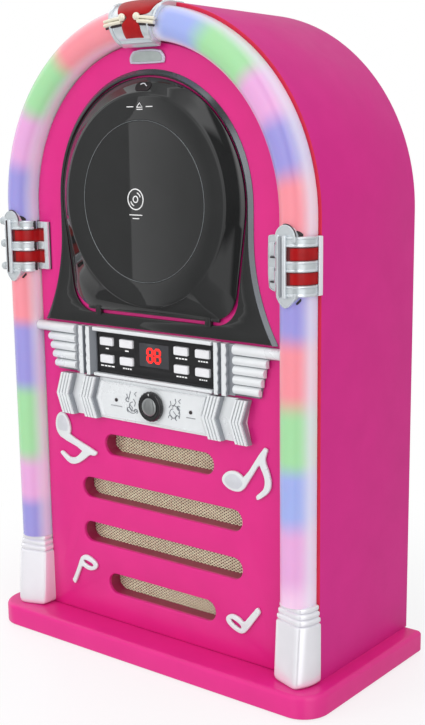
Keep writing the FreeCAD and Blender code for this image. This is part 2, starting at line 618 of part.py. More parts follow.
def door_outline(grow, low):
    r = dr + grow
    return [(57.0, low), (77.0 + grow, 287.0, 55.0 + grow, 289.6, True), (85.2 + grow, 333.0),
            (-(85.2 + grow), 333.0, 0.0, dz, True), (-(77.0 + grow), 287.0), (-57.0, low, -(55.0 + grow), 289.6, True)]


def clean_outline(grow, low):
    """Flap outline: a circle above, tapering sides, rounded lower corners."""
    cr = 21.0
    cx = 57.0 + grow
    cz = low + cr
    # corner arc ends where it meets the tapering side
    ex, ez = cx + cr * math.cos(math.radians(-12.0)), cz + cr * math.sin(math.radians(-12.0))
    r = num(dr) + grow
    sz = 330.0
    sx = math.sqrt(r * r - (sz - num(dz)) ** 2)
    return [(cx, low), (ex, ez, cx, cz, True), (sx, sz), (-sx, sz, 0.0, num(dz), True),
            (-ex, ez), (-cx, low, -cx, cz, True)]


surround = slab("XZ_Plane", Y(-pp - 2.0), Y(-pp), BELL_OUT, clean_outline(1.2, 262.6))
lugs = []
for sx in (-1.0, 1.0):
    x0, x1 = sorted((sx * 50.4, sx * 55.4))
    lug = box(x0, x1, Y(-7.0), Y(-pp), 260.5, 268.3)
    lugs.append(lug)
part("door_surround", cut(fuse(surround, *lugs), cyl("x", D["hinge_y"], D["hinge_z"], -60.0, 60.0, D["pin_r"])))

flap = new_body("cd_door")
pad(flap, "XZ_Plane", Y(-6.2), Y(-4.3), [clean_outline(0.0, num(D["door_low"]) + 1.2)])
bowl = common(cyl("y", 0.0, dz, Y(-12.2), Y(-6.0), D["roundel_r"], "Part::Cone", D["door_r"] - 0.2),
              slab("XZ_Plane", Y(-13.0), Y(-5.0), clean_outline(0.0, num(D["door_low"]) + 1.2)))
hollow = cyl("y", 0.0, dz, Y(-10.4), Y(-4.0), 72.0)
barrel = cyl("x", D["hinge_y"], D["hinge_z"], -63.0, 63.0, 1.55)
clear = []
for sx in (-1.0, 1.0):
    x0, x1 = sorted((sx * 49.9, sx * 55.9))
    clear.append(box(x0, x1, Y(-12.0), Y(-3.0), 260.0, 270.0))
clear.append(slab("XZ_Plane", Y(-10.0), Y(-5.4), stadium(5.6, 425.4, 2.6)))
hook = fuse(box(-3.0, 3.0, Y(-4.5), Y(2.2), 423.0, 425.2), box(-3.0, 3.0, Y(0.2), Y(2.2), 423.0, 427.0))
part("cd_door", cut(fuse(cut(fuse(flap, bowl), hollow), barrel, hook), cyl("x", D["hinge_y"], D["hinge_z"], -70.0, 70.0, D["pin_bore"]), *clear))
part("door_roundel", cyl("y", 0.0, dz, Y(-13.4), Y(-12.2), D["roundel_r"] - 1.2, "Part::Cone", D["roundel_r"] - 0.2))
pins = []
for sx in (-1.0, 1.0):
    x0, x1 = sorted((sx * 46.0, sx * 60.5))
    pins.append(cyl("x", D["hinge_y"], D["hinge_z"], x0, x1, D["pin_r"]))
part("door_hinge_pins", group(*pins))
part("door_catch", cut(box(-9.0, 9.0, Y(0.4), Y(14.0), 419.0, 433.0), box(-4.5, 4.5, Y(0.0), Y(12.5), 420.5, 430.8)))

# ---- disc well and player mechanism -----------------------------------------
wf = D["well_floor"]
well = cut(fuse(cyl("y", 0.0, dz, Y(0.2), Y(2.3), 72.0), cyl("y", 0.0, dz, Y(2.0), Y(wf + 2.0), D["well_r"] + 2.0)),
           cyl("y", 0.0, dz, Y(0.0), Y(wf), D["well_r"]),
           cyl("y", 0.0, dz, Y(wf - 1.0), Y(wf + 4.0), 16.0),
           box(12.0, 60.0, Y(wf - 1.0), Y(wf + 4.0), dz - 15.0, dz + 15.0))
part("disc_well", well)
brackets = [box(46.2, 50.0, Y(wf + 5.4), Y(wf + 15.5), dz + 20.6, dz + 28.0)]
for x0, x1 in ((13.2, 16.2), (74.4, 77.4)):
    for off in (-11.0, 8.5):
        brackets.append(cut(box(x0, x1, Y(wf + 5.4), Y(wf + 13.0), dz + (off - 2.6), dz + (off + 2.6)),
                            cyl("x", Y(wf + 10.5), dz + off, x0 - 1.0, x1 + 1.0, 1.5)))
part("mech_chassis", cut(fuse(box(-34.0, 78.0, Y(wf + 3.5), Y(wf + 5.5), dz - 30.0, dz + 32.0), *brackets),
                         box(14.5, 66.0, Y(wf + 2.0), Y(wf + 7.0), dz - 17.0, dz + 20.5),
                         cyl("y", 0.0, dz, Y(wf + 2.0), Y(wf + 7.0), 4.0)))
part("spindle_motor", cut(fuse(cyl("y", 0.0, dz, Y(wf + 5.5), Y(wf + 17.0), 12.2), cyl("y", 0.0, dz, Y(wf + 3.0), Y(wf + 5.6), 3.6)),
                          cyl("y", 0.0, dz, Y(wf + 2.0), Y(wf + 14.0), D["shaft_bore"])))
part("spindle_hub", fuse(cyl("y", 0.0, dz, Y(3.6), Y(6.6), 14.0), cyl("y", 0.0, dz, Y(-1.4), Y(3.7), D["hub_r"]),
                         cyl("y", 0.0, dz, Y(-3.0), Y(-1.4), 4.5, "Part::Cone", D["hub_r"]),
                         cyl("y", 0.0, dz, Y(6.5), Y(wf + 12.0), D["shaft_r"])))
sled = fuse(box(18.0, 36.0, Y(wf + 6.2), Y(wf + 15.0), dz - 15.5, dz + 13.0), cyl("y", 27.0, dz, Y(wf - 1.5), Y(wf + 7.0), 4.0))
part("laser_sled", cut(sled, cyl("x", Y(wf + 10.5), dz - 11.0, 0.0, 90.0, 1.56), cyl("x", Y(wf + 10.5), dz + 8.5, 0.0, 90.0, 1.56)))
part("guide_rods", group(cyl("x", Y(wf + 10.5), dz - 11.0, 13.2, 77.4, 1.5), cyl("x", Y(wf + 10.5), dz + 8.5, 13.2, 77.4, 1.5)))
part("sled_gear", fuse(cyl("y", 40.0, dz + 18.6, Y(wf + 7.0), Y(wf + 12.0), 5.2), cyl("y", 40.0, dz + 18.6, Y(wf + 11.0), Y(wf + 20.0), D["shaft_r"])))
part("sled_motor", cut(cyl("y", 40.0, dz + 18.6, Y(wf + 15.5), Y(wf + 30.0), 9.0), cyl("y", 40.0, dz + 18.6, Y(wf + 15.0), Y(wf + 21.0), D["shaft_bore"])))

# ---- control panel ----------------------------------------------------------
fh, f0, f1 = D["fascia_half"], D["fascia_low"], D["fascia_high"]
plate = slab("XZ_Plane", Y(-pp - 3.0), Y(-pp), [(117.5, 251.8), (-117.5, 251.8), (-117.5, 243.8), (-105.6, 243.8), (-98.4, 215.0), (98.4, 215.0),
                                               (105.6, 243.8), (117.5, 243.8)], rect(-fh - 0.2, fh + 0.2, f0 - 0.2, f1 + 0.2))
bits = [plate]
for sx in (-1.0, 1.0):
    for z, r, x1 in ((247.8, 3.9, 117.5), (239.4, 2.6, 104.4), (232.7, 2.6, 102.7), (226.0, 2.6, 101.0), (219.3, 2.6, 99.4)):
        a, c = sorted((sx * 78.0, sx * x1))
        bits.append(cyl("x", Y(-pp - 3.0), z, a, c, r))
    for z, x1 in ((243.2, 105.2), (236.1, 103.6), (229.3, 101.9), (222.6, 100.2)):
        a, c = sorted((sx * 78.0, sx * x1))
        bits.append(cyl("x", Y(-pp - 3.0), z, a, c, 1.0))
    a, c = sorted((sx * 57.3, sx * 62.0))
    bits.append(box(a, c, Y(-10.0), Y(-pp), 215.0, 251.8))
    a, c = sorted((sx * 67.8, sx * 73.6))
    bits.append(box(a, c, Y(-10.0), Y(-pp), 215.0, 251.8))
bits.append(box(-57.5, 57.5, Y(-8.2), Y(-pp), 248.9, 251.8))
bits.append(box(-57.5, 57.5, Y(-8.2), Y(-pp), 214.6, 217.0))
part("control_trim", cut(fuse(*bits), slab("XZ_Plane", Y(-pp), Y(3.0), rect(-125.0, 125.0, 205.0, 260.0))))

KEYS = [("play_button", -D["key_out"], D["key_row_a"]), ("stop_button", -D["key_out"], D["key_row_b"]),
        ("repeat_button", -D["key_in"], D["key_row_a"]), ("random_button", -D["key_in"], D["key_row_b"]),
        ("skip_back_button", D["key_in"], D["key_row_a"]), ("program_button", D["key_in"], D["key_row_b"]),
        ("skip_forward_button", D["key_out"], D["key_row_a"]), ("source_button", D["key_out"], D["key_row_b"])]
kh, kt, kg = D["key_half"], D["key_tall"], D["key_gap"]
b = new_body("control_fascia")
pad(b, "XZ_Plane", Y(-4.6), Y(-3.3), [rect(-fh, fh, f0, f1), rect(-14.4, 14.4, 226.0, 243.6)] +
    [rect(x - kh - kg, x + kh + kg, z - kt - kg, z + kt + kg) for _, x, z in KEYS])
part("control_fascia", b)
for name, x, z in KEYS:
    key = slab("XZ_Plane", Y(-6.0), Y(-2.0), rect(x - kh, x + kh, z - kt, z + kt))
    round_edges(key, 0.6, lambda e: facing(e, "y", -52.0))
    flange = box(x - kh - 1.2, x + kh + 1.2, Y(-2.5), Y(-1.5), z - kt - 1.0, z + kt + 1.0)
    stem = box(x - 1.5, x + 1.5, Y(-1.6), Y(0.9), z - 1.5, z + 1.5)
    part(name, fuse(key, flange, stem))
part("display_window", slab("XZ_Plane", Y(-4.6), Y(-3.4), rect(-14.3, 14.3, 226.1, 243.5)))
part("display_module", slab("XZ_Plane", Y(-3.3), Y(3.9), rect(-12.5, 12.5, 227.5, 242.5)))
board = [box(-55.0, 55.0, Y(4.0), Y(5.6), 219.6, 246.4)]
for name, x, z in KEYS:
    board.append(box(x - 3.0, x + 3.0, Y(2.3), Y(4.1), z - 3.0, z + 3.0))
part("control_board", fuse(*board))

# ---- lower strip with chevron flutes, knob and lamps -------------------------
strip = slab("XZ_Plane", Y(-7.2), Y(-pp), [(89.9, 182.0), (86.6, 197.4), (89.9, 213.8), (-90.6, 213.8), (-96.6, 197.4), (-90.6, 182.0)],
             (0.0, D["knob_z"], 4.3), (36.4, 198.0, 1.65), (-36.4, 198.0, 1.65))
flutes = [strip]
for x0 in (-90.6, -66.2, 55.4, 79.6):
    for k in range(4):
        a = x0 + 3.15 * k
        flutes.append(slab("XZ_Plane", Y(-9.8), Y(-7.0), [(a, 182.2), (a + 2.0, 182.2), (a - 3.6, 197.6), (a + 2.0, 213.6), (a, 213.6), (a - 5.6, 197.6)]))
part("trim_strip", fuse(*flutes))
kr, kz = D["knob_r"], D["knob_z"]
part("volume_knob", fuse(cyl("y", 0.0, kz, Y(-10.5), Y(-7.5), kr - 0.8, "Part::Cone", kr), cyl("y", 0.0, kz, Y(-13.5), Y(-10.4), 6.2, "Part::Cone", 8.2),
                         cyl("y", 0.0, kz, Y(-7.6), Y(9.0), D["pot_shaft"])))
part("volume_pot", cut(fuse(box(-8.5, 8.5, Y(3.0), Y(11.0), kz - 9.5, kz + 8.5), cyl("y", 0.0, kz, Y(-3.0), Y(3.5), 4.0)),
                       cyl("y", 0.0, kz, Y(-4.0), Y(10.0), D["pot_bore"])))
part("indicator_lenses", group(*[fuse(cyl("y", sx, 198.0, Y(-8.0), Y(-7.0), 1.3, "Part::Cone", 1.55), cyl("y", sx, 198.0, Y(-7.2), Y(4.0), 1.5)) for sx in (-36.4, 36.4)]))

# ---- electronics and rear connectors -----------------------------------------
brd = [box(20.0, 120.0, Y(99.0), Y(100.6), 66.0, 160.0)]
for x, z, sx_, sz_, dpt in ((40.0, 130.0, 14.0, 14.0, 2.5), (80.0, 120.0, 18.0, 10.0, 2.5), (100.0, 90.0, 10.0, 10.0, 3.0), (50.0, 85.0, 22.0, 12.0, 12.0)):
    brd.append(box(x - sx_ / 2, x + sx_ / 2, Y(99.2 - dpt), Y(99.2), z - sz_ / 2, z + sz_ / 2))
for x, z in ((30.0, 150.0), (44.0, 150.0), (110.0, 150.0), (96.0, 152.0)):
    brd.append(cyl("y", x, z, Y(86.0), Y(99.2), 4.0))
for x, z in ((24.0, 70.0), (116.0, 70.0), (24.0, 156.0), (116.0, 156.0)):
    brd.append(cyl("y", x, z, Y(100.5), D["back"] - 6.0, 2.8))
part("main_board", fuse(*brd))
part("mains_transformer", fuse(box(-112.0, -72.0, Y(58.0), Y(88.0), pt + w, 54.0), box(-108.0, -76.0, Y(52.0), Y(94.0), 25.0, 50.0), box(-120.0, -64.0, Y(60.0), Y(86.0), pt + w, 22.4)))
part("power_inlet", cut(fuse(box(-97.7, -74.3, Y(99.0), D["back"] - 2.9, 42.3, 57.7), box(-101.0, -71.0, D["back"] - 3.0, D["back"] - 1.4, 39.0, 61.0)),
                        slab("XZ_Plane", Y(105.0), D["back"] + 2.0, stadium(8.2, 50.0, 3.9, -86.0)),
                        ))
pwr = fuse(box(-59.7, -46.3, Y(102.0), D["back"] - 2.9, 40.3, 60.7), box(-61.5, -44.5, D["back"] - 3.0, D["back"] - 1.8, 38.5, 62.5))
part("power_switch_frame", cut(pwr, box(-58.3, -47.7, Y(105.0), D["back"] + 2.0, 41.8, 59.2), cyl("x", D["back"] - 6.0, 50.5, -59.3, -46.7, 1.05)))
rk = slab("YZ_Plane", -57.6, -48.4, [(D["back"] - 7.5, 43.2), (D["back"] - 2.6, 42.6), (D["back"] - 3.6, 50.5), (D["back"] - 2.6, 58.4), (D["back"] - 7.5, 57.8)])
part("power_rocker", fuse(rk, cyl("x", D["back"] - 6.0, 50.5, -59.0, -47.0, 1.0)))
jacks = []
for x in (60.0, 78.0):
    jacks.append(cut(fuse(cyl("y", x, 50.0, Y(103.0), D["back"] - 1.6, 4.1), cyl("y", x, 50.0, D["back"] - 3.0, D["back"] - 2.2, 6.0)), cyl("y", x, 50.0, Y(106.0), D["back"], 1.6)))
jacks.append(cut(fuse(cyl("y", 96.0, 50.0, Y(103.0), D["back"] - 1.6, 3.1), cyl("y", 96.0, 50.0, D["back"] - 3.0, D["back"] - 2.2, 5.0)), cyl("y", 96.0, 50.0, Y(105.0), D["back"], 1.78)))
part("audio_jacks", group(*jacks))

# ---- checks and export ---------------------------------------------------------
doc.recompute()
bad = []
for o in doc.Objects:
    if any(flag in ("Invalid", "Error") for flag in o.State):
        bad.append("%s %s" % (o.Label, o.State))
for node, o in PARTS:
    sh = o.Shape
    if sh.isNull() or not sh.isValid() or not sh.Solids:
        bad.append("shape of " + node)
if bad:
    raise RuntimeError("failed: " + "; ".join(bad))
if len(PARTS) > 60 or len({n for n, _ in PARTS}) != len(PARTS):
    raise RuntimeError("too many parts or a name used twice: %d" % len(PARTS))
os.makedirs("parts", exist_ok=True)
for old in os.listdir("parts"):
    if old.endswith(".step"):
        os.remove(os.path.join("parts", old))
for node, o in PARTS:
    o.Shape.exportStep(os.path.join("parts", node + ".step"))
    bb = o.Shape.BoundBox
    print("%-22s solids %d  x %.1f..%.1f y %.1f..%.1f z %.1f..%.1f" % (node, len(o.Shape.Solids), bb.XMin, bb.XMax, bb.YMin, bb.YMax, bb.ZMin, bb.ZMax))
print("parts", len(PARTS))
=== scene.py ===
import math
import numpy as np
import bpy
import bmesh
from mathutils import Matrix, Vector


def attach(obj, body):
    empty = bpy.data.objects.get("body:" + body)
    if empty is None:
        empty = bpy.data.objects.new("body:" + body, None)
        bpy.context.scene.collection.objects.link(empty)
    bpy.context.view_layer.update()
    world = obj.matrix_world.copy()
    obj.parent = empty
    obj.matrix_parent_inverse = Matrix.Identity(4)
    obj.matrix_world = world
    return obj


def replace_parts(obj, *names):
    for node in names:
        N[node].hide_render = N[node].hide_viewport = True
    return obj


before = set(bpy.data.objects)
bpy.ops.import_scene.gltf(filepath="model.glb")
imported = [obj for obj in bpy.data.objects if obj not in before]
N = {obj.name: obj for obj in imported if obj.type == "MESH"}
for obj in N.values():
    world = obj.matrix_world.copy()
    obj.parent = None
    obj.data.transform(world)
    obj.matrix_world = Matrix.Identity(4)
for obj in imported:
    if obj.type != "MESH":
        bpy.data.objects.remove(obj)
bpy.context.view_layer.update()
scene = bpy.context.scene
S = 0.001
YF = -46.0          # front edge of the casing, mm
TX, TR, AZ = 129.4, 11.9, 339.0
DZ = 346.0

# ------------------------------------------------------------------ camera
def aim_camera():
    yaw, pitch = math.radians(35.63), math.radians(11.53)
    back = Vector((math.sin(yaw) * math.cos(pitch), -math.cos(yaw) * math.cos(pitch), math.sin(pitch)))
    right = Vector((math.cos(yaw), math.sin(yaw), 0.0))
    up = back.cross(right)
    m = Matrix.Identity(4)
    for i in range(3):
        m[i][0], m[i][1], m[i][2] = right[i], up[i], back[i]
    m.translation = Vector((0.5770, -0.6852, 0.3903))
    data = bpy.data.cameras.new("camera")
    cam = bpy.data.objects.new("camera", data)
    scene.collection.objects.link(cam)
    cam.matrix_world = m
    data.sensor_fit = "AUTO"
    data.sensor_width = 36.0
    data.lens = 1188.53 / 725.0 * 36.0
    data.shift_x = (212.5 - 290.04) / 725.0
    data.shift_y = (380.75 - 362.5) / 725.0
    data.clip_start = 0.02
    data.clip_end = 30.0
    scene.camera = cam


aim_camera()

# --------------------------------------------------------------- materials
MATS = {}


def lin(r, g, b):
    def f(c):
        c /= 255.0
        return c / 12.92 if c <= 0.04045 else ((c + 0.055) / 1.055) ** 2.4
    return (f(r), f(g), f(b), 1.0)


def material(name, colour, rough, metallic=0.0, coat=0.0, coat_rough=0.05, vary=0.05, vary_scale=40.0,
             bump=0.02, bump_scale=900.0, rough_vary=0.06, emit=None, emit_strength=0.0, spec=0.5,
             edge=None, sss=0.0, alpha=None, ior=None, grain=None, painted_edge_highlight=0.0):
    """Moulded or metal finish: a base colour with slow mottling, fine bump, uneven gloss and a painted highlight that
    lightens convex edges.
    """
    if name in MATS:
        return MATS[name]
    m = bpy.data.materials.new(name)
    m.use_nodes = True
    nt = m.node_tree
    nd, lk = nt.nodes, nt.links
    bs = nd["Principled BSDF"]
    bs.inputs["Metallic"].default_value = metallic
    bs.inputs["Coat Weight"].default_value = coat
    bs.inputs["Coat Roughness"].default_value = coat_rough
    bs.inputs["Specular IOR Level"].default_value = spec
    if ior:
        bs.inputs["IOR"].default_value = ior
    if sss:
        bs.inputs["Subsurface Weight"].default_value = sss
        bs.inputs["Subsurface Scale"].default_value = 0.004
        bs.inputs["Subsurface Radius"].default_value = (1.0, 0.8, 0.8)
    tc = nd.new("ShaderNodeTexCoord")
    n1 = nd.new("ShaderNodeTexNoise")
    n1.inputs["Scale"].default_value = vary_scale
    n1.inputs["Detail"].default_value = 4.0
    lk.new(tc.outputs["Object"], n1.inputs["Vector"])
    ramp = nd.new("ShaderNodeValToRGB")
    c = colour
    ramp.color_ramp.elements[0].position = 0.3
    ramp.color_ramp.elements[1].position = 0.7
    ramp.color_ramp.elements[0].color = (c[0] * (1 - vary), c[1] * (1 - vary), c[2] * (1 - vary), 1)
    ramp.color_ramp.elements[1].color = (min(1, c[0] * (1 + vary)), min(1, c[1] * (1 + vary)), min(1, c[2] * (1 + vary)), 1)
    lk.new(n1.outputs["Fac"], ramp.inputs["Fac"])
    col = ramp.outputs["Color"]
    # painted highlight: convex edges (by pointiness) take a lighter colour
    if edge or painted_edge_highlight:
        geo = nd.new("ShaderNodeNewGeometry")
        er = nd.new("ShaderNodeValToRGB")
        er.color_ramp.elements[0].position = 0.52
        er.color_ramp.elements[1].position = 0.62
        er.color_ramp.elements[0].color = (0, 0, 0, 1)
        er.color_ramp.elements[1].color = (1, 1, 1, 1)
        lk.new(geo.outputs["Pointiness"], er.inputs["Fac"])
        mx = nd.new("ShaderNodeMix")
        mx.data_type = "RGBA"
        e = edge or (min(1, c[0] * 1.25 + 0.02), min(1, c[1] * 1.25 + 0.02), min(1, c[2] * 1.25 + 0.02), 1)
        lk.new(er.outputs["Color"], mx.inputs[0])
        lk.new(col, mx.inputs[6])
        mx.inputs[7].default_value = e
        col = mx.outputs[2]
    lk.new(col, bs.inputs["Base Color"])
    n2 = nd.new("ShaderNodeTexNoise")
    n2.inputs["Scale"].default_value = 22.0
    n2.inputs["Detail"].default_value = 6.0
    n2.inputs["Roughness"].default_value = 0.65
    lk.new(tc.outputs["Object"], n2.inputs["Vector"])
    mr = nd.new("ShaderNodeMapRange")
    mr.inputs["From Min"].default_value = 0.3
    mr.inputs["From Max"].default_value = 0.7
    mr.inputs["To Min"].default_value = max(0.008, rough - rough_vary)
    mr.inputs["To Max"].default_value = rough + rough_vary
    lk.new(n2.outputs["Fac"], mr.inputs["Value"])
    lk.new(mr.outputs["Result"], bs.inputs["Roughness"])
    n3 = nd.new("ShaderNodeTexNoise")
    n3.inputs["Scale"].default_value = bump_scale
    n3.inputs["Detail"].default_value = 3.0
    if grain:
        mp = nd.new("ShaderNodeMapping")
        mp.inputs["Scale"].default_value = grain
        lk.new(tc.outputs["Object"], mp.inputs["Vector"])
        lk.new(mp.outputs["Vector"], n3.inputs["Vector"])
    else:
        lk.new(tc.outputs["Object"], n3.inputs["Vector"])
    bp = nd.new("ShaderNodeBump")
    bp.inputs["Strength"].default_value = bump
    bp.inputs["Distance"].default_value = 0.0003
    lk.new(n3.outputs["Fac"], bp.inputs["Height"])
    lk.new(bp.outputs["Normal"], bs.inputs["Normal"])
    if emit:
        bs.inputs["Emission Color"].default_value = emit
        bs.inputs["Emission Strength"].default_value = emit_strength
    if alpha is not None:
        bs.inputs["Alpha"].default_value = alpha
    MATS[name] = m
    return m


PINK = material("casing_pink", lin(201, 32, 129), 0.46, coat=0.04, coat_rough=0.2, vary=0.03, bump=0.05, bump_scale=1400, spec=0.25)
PINK_P = material("plinth_pink", lin(218, 32, 130), 0.38, coat=0.15, coat_rough=0.16, vary=0.03, bump=0.05, bump_scale=1400, spec=0.45)
PINK_F = material("front_pink", lin(213, 28, 126), 0.36, coat=0.15, coat_rough=0.16, vary=0.03, bump=0.04, bump_scale=1400, spec=0.45)
# darker pink: painted shade on the walls of the slot recesses
PINK_SHADED = material("slot_pink_shaded", lin(150, 10, 70), 0.40, coat=0.2, vary=0.05, bump=0.05)
RIM_RED = material("casing_rim", lin(206, 6, 58), 0.45, coat=0.1, vary=0.04, bump=0.04)
BLACK = material("piano_black", lin(29, 30, 30), 0.016, coat=0.45, coat_rough=0.01, vary=0.10, vary_scale=60, bump=0.0012, bump_scale=260, rough_vary=0.007)
BLACK_F = material("fascia_black", lin(22, 22, 24), 0.22, coat=0.2, vary=0.10, bump=0.03, rough_vary=0.05)
BEVEL = material("surround_bevel", lin(104, 108, 112), 0.18, metallic=0.75, vary=0.06, bump=0.01)
RING = material("ring_grey", lin(120, 124, 126), 0.28, metallic=0.5, vary=0.06, bump=0.03)
SILVER = material("silver_paint", lin(226, 229, 231), 0.30, metallic=0.15, coat=0.35, coat_rough=0.12, vary=0.02, vary_scale=120, bump=0.018, bump_scale=1800)
# darker copy of the silver: painted shade in grooves and recesses, on undersides and on side faces
SILVER_SHADED = material("silver_shaded", lin(150, 154, 160), 0.36, metallic=0.3, coat=0.2, vary=0.05, vary_scale=120, bump=0.05, bump_scale=1800)
# mid grey: painted shade on the backing seen between the ribs and on the posts' inner slopes; also the ink of the
# printed ornaments
SHADE_AND_PRINT_GREY = material("trim_shadow", lin(118, 122, 128), 0.45, metallic=0.1, vary=0.05)
CLASP = material("clasp_plated", lin(222, 228, 232), 0.17, metallic=0.5, coat=0.4, coat_rough=0.06, vary=0.05, vary_scale=200, bump=0.02, bump_scale=700, rough_vary=0.05)
CLASP_G = material("clasp_groove", lin(206, 213, 216), 0.26, metallic=0.45, coat=0.2, vary=0.06, vary_scale=200, bump=0.02)
PLATED = material("plated_plastic", lin(240, 239, 244), 0.20, metallic=0.3, coat=0.4, coat_rough=0.06, vary=0.03, bump=0.02, bump_scale=700, rough_vary=0.05)
CREAM = material("cream_plated", lin(240, 234, 214), 0.28, metallic=0.35, coat=0.4, vary=0.03, bump=0.03)
RED = material("red_insert", lin(160, 6, 12), 0.34, coat=0.1, coat_rough=0.08, spec=0.25, vary=0.12, vary_scale=160, bump=0.04, bump_scale=600)
RED_D = material("red_insert_edge", lin(92, 6, 12), 0.30, coat=0.3, vary=0.1)
# dark lines and strips: painted shade in gaps and grooves, painted shadow along edges
SHADOW_LINE = material("shadow_line", lin(46, 36, 40), 0.5, vary=0.1)
GREY_LINE = material("printed_grey", lin(150, 152, 156), 0.5, vary=0.08)
# printed white; its emission is a faint painted glow
WHITE_PRINT = material("printed_white", lin(235, 235, 235), 0.5, vary=0.03, emit=lin(235, 235, 235), emit_strength=0.08)
KEY = material("key_white", lin(225, 225, 228), 0.34, coat=0.25, vary=0.02, vary_scale=160, bump=0.05, bump_scale=1800)
NOTE_FACE = material("note_face", lin(214, 216, 222), 0.32, metallic=0.25, coat=0.3, vary=0.04, vary_scale=150, bump=0.05, bump_scale=1800)
BADGE = material("badge_grey", lin(168, 176, 174), 0.34, metallic=0.3, coat=0.2, vary=0.05, vary_scale=200, bump=0.06, bump_scale=1500)
BADGE_RIM = material("badge_rim", lin(214, 208, 226), 0.25, metallic=0.5, coat=0.3, vary=0.03)
GLASS_D = material("display_smoke", lin(58, 58, 62), 0.12, coat=0.5, vary=0.06, bump=0.01)
LED = material("segment_red", lin(250, 30, 24), 0.4, vary=0.08, vary_scale=300, emit=lin(250, 24, 20), emit_strength=1.6)
LED_OFF = material("lamp_dark", lin(40, 30, 32), 0.2, coat=0.5, vary=0.1)
GOLD = material("gold_mesh", lin(252, 238, 208), 0.36, metallic=0.25, vary=0.16, vary_scale=420, bump=0.08, bump_scale=1200, rough_vary=0.1)
CLOTH = material("speaker_cloth", lin(92, 60, 50), 0.85, vary=0.25, vary_scale=300, bump=0.4, bump_scale=2500)
STEEL = material("zinc_steel", lin(176, 178, 182), 0.32, metallic=0.9, vary=0.07, vary_scale=80, bump=0.05, bump_scale=500, grain=(1, 8, 1))
RUBBER = material("foot_rubber", lin(32, 32, 33), 0.8, vary=0.12, bump=0.25, bump_scale=1200)
DARK = material("moulded_black", lin(38, 38, 40), 0.52, vary=0.10, bump=0.22, bump_scale=1500)
BACKM = material("back_textured", lin(44, 44, 47), 0.62, vary=0.10, bump=0.5, bump_scale=1300)
BASEM = material("base_textured", lin(40, 40, 42), 0.60, vary=0.10, bump=0.4, bump_scale=1300)
PCB = material("board_green", lin(24, 92, 52), 0.40, coat=0.3, vary=0.2, vary_scale=220, bump=0.2, bump_scale=700)
LAMINATE = material("board_white", lin(226, 224, 214), 0.5, vary=0.05, bump=0.05)
CONE = material("cone_paper", lin(40, 38, 38), 0.9, vary=0.2, vary_scale=200, bump=0.5, bump_scale=1800)
# near-black: painted shade in the finger notch's recess
NOTCH_SHADE = material("finger_notch_shade", lin(7, 7, 8), 0.5, vary=0.1, bump=0.03)
KNOB = material("knob_black", lin(24, 24, 26), 0.24, coat=0.4, vary=0.1, bump=0.04)
DOME = material("knob_dome", lin(134, 137, 137), 0.16, metallic=0.5, coat=0.5, vary=0.08, bump=0.03)


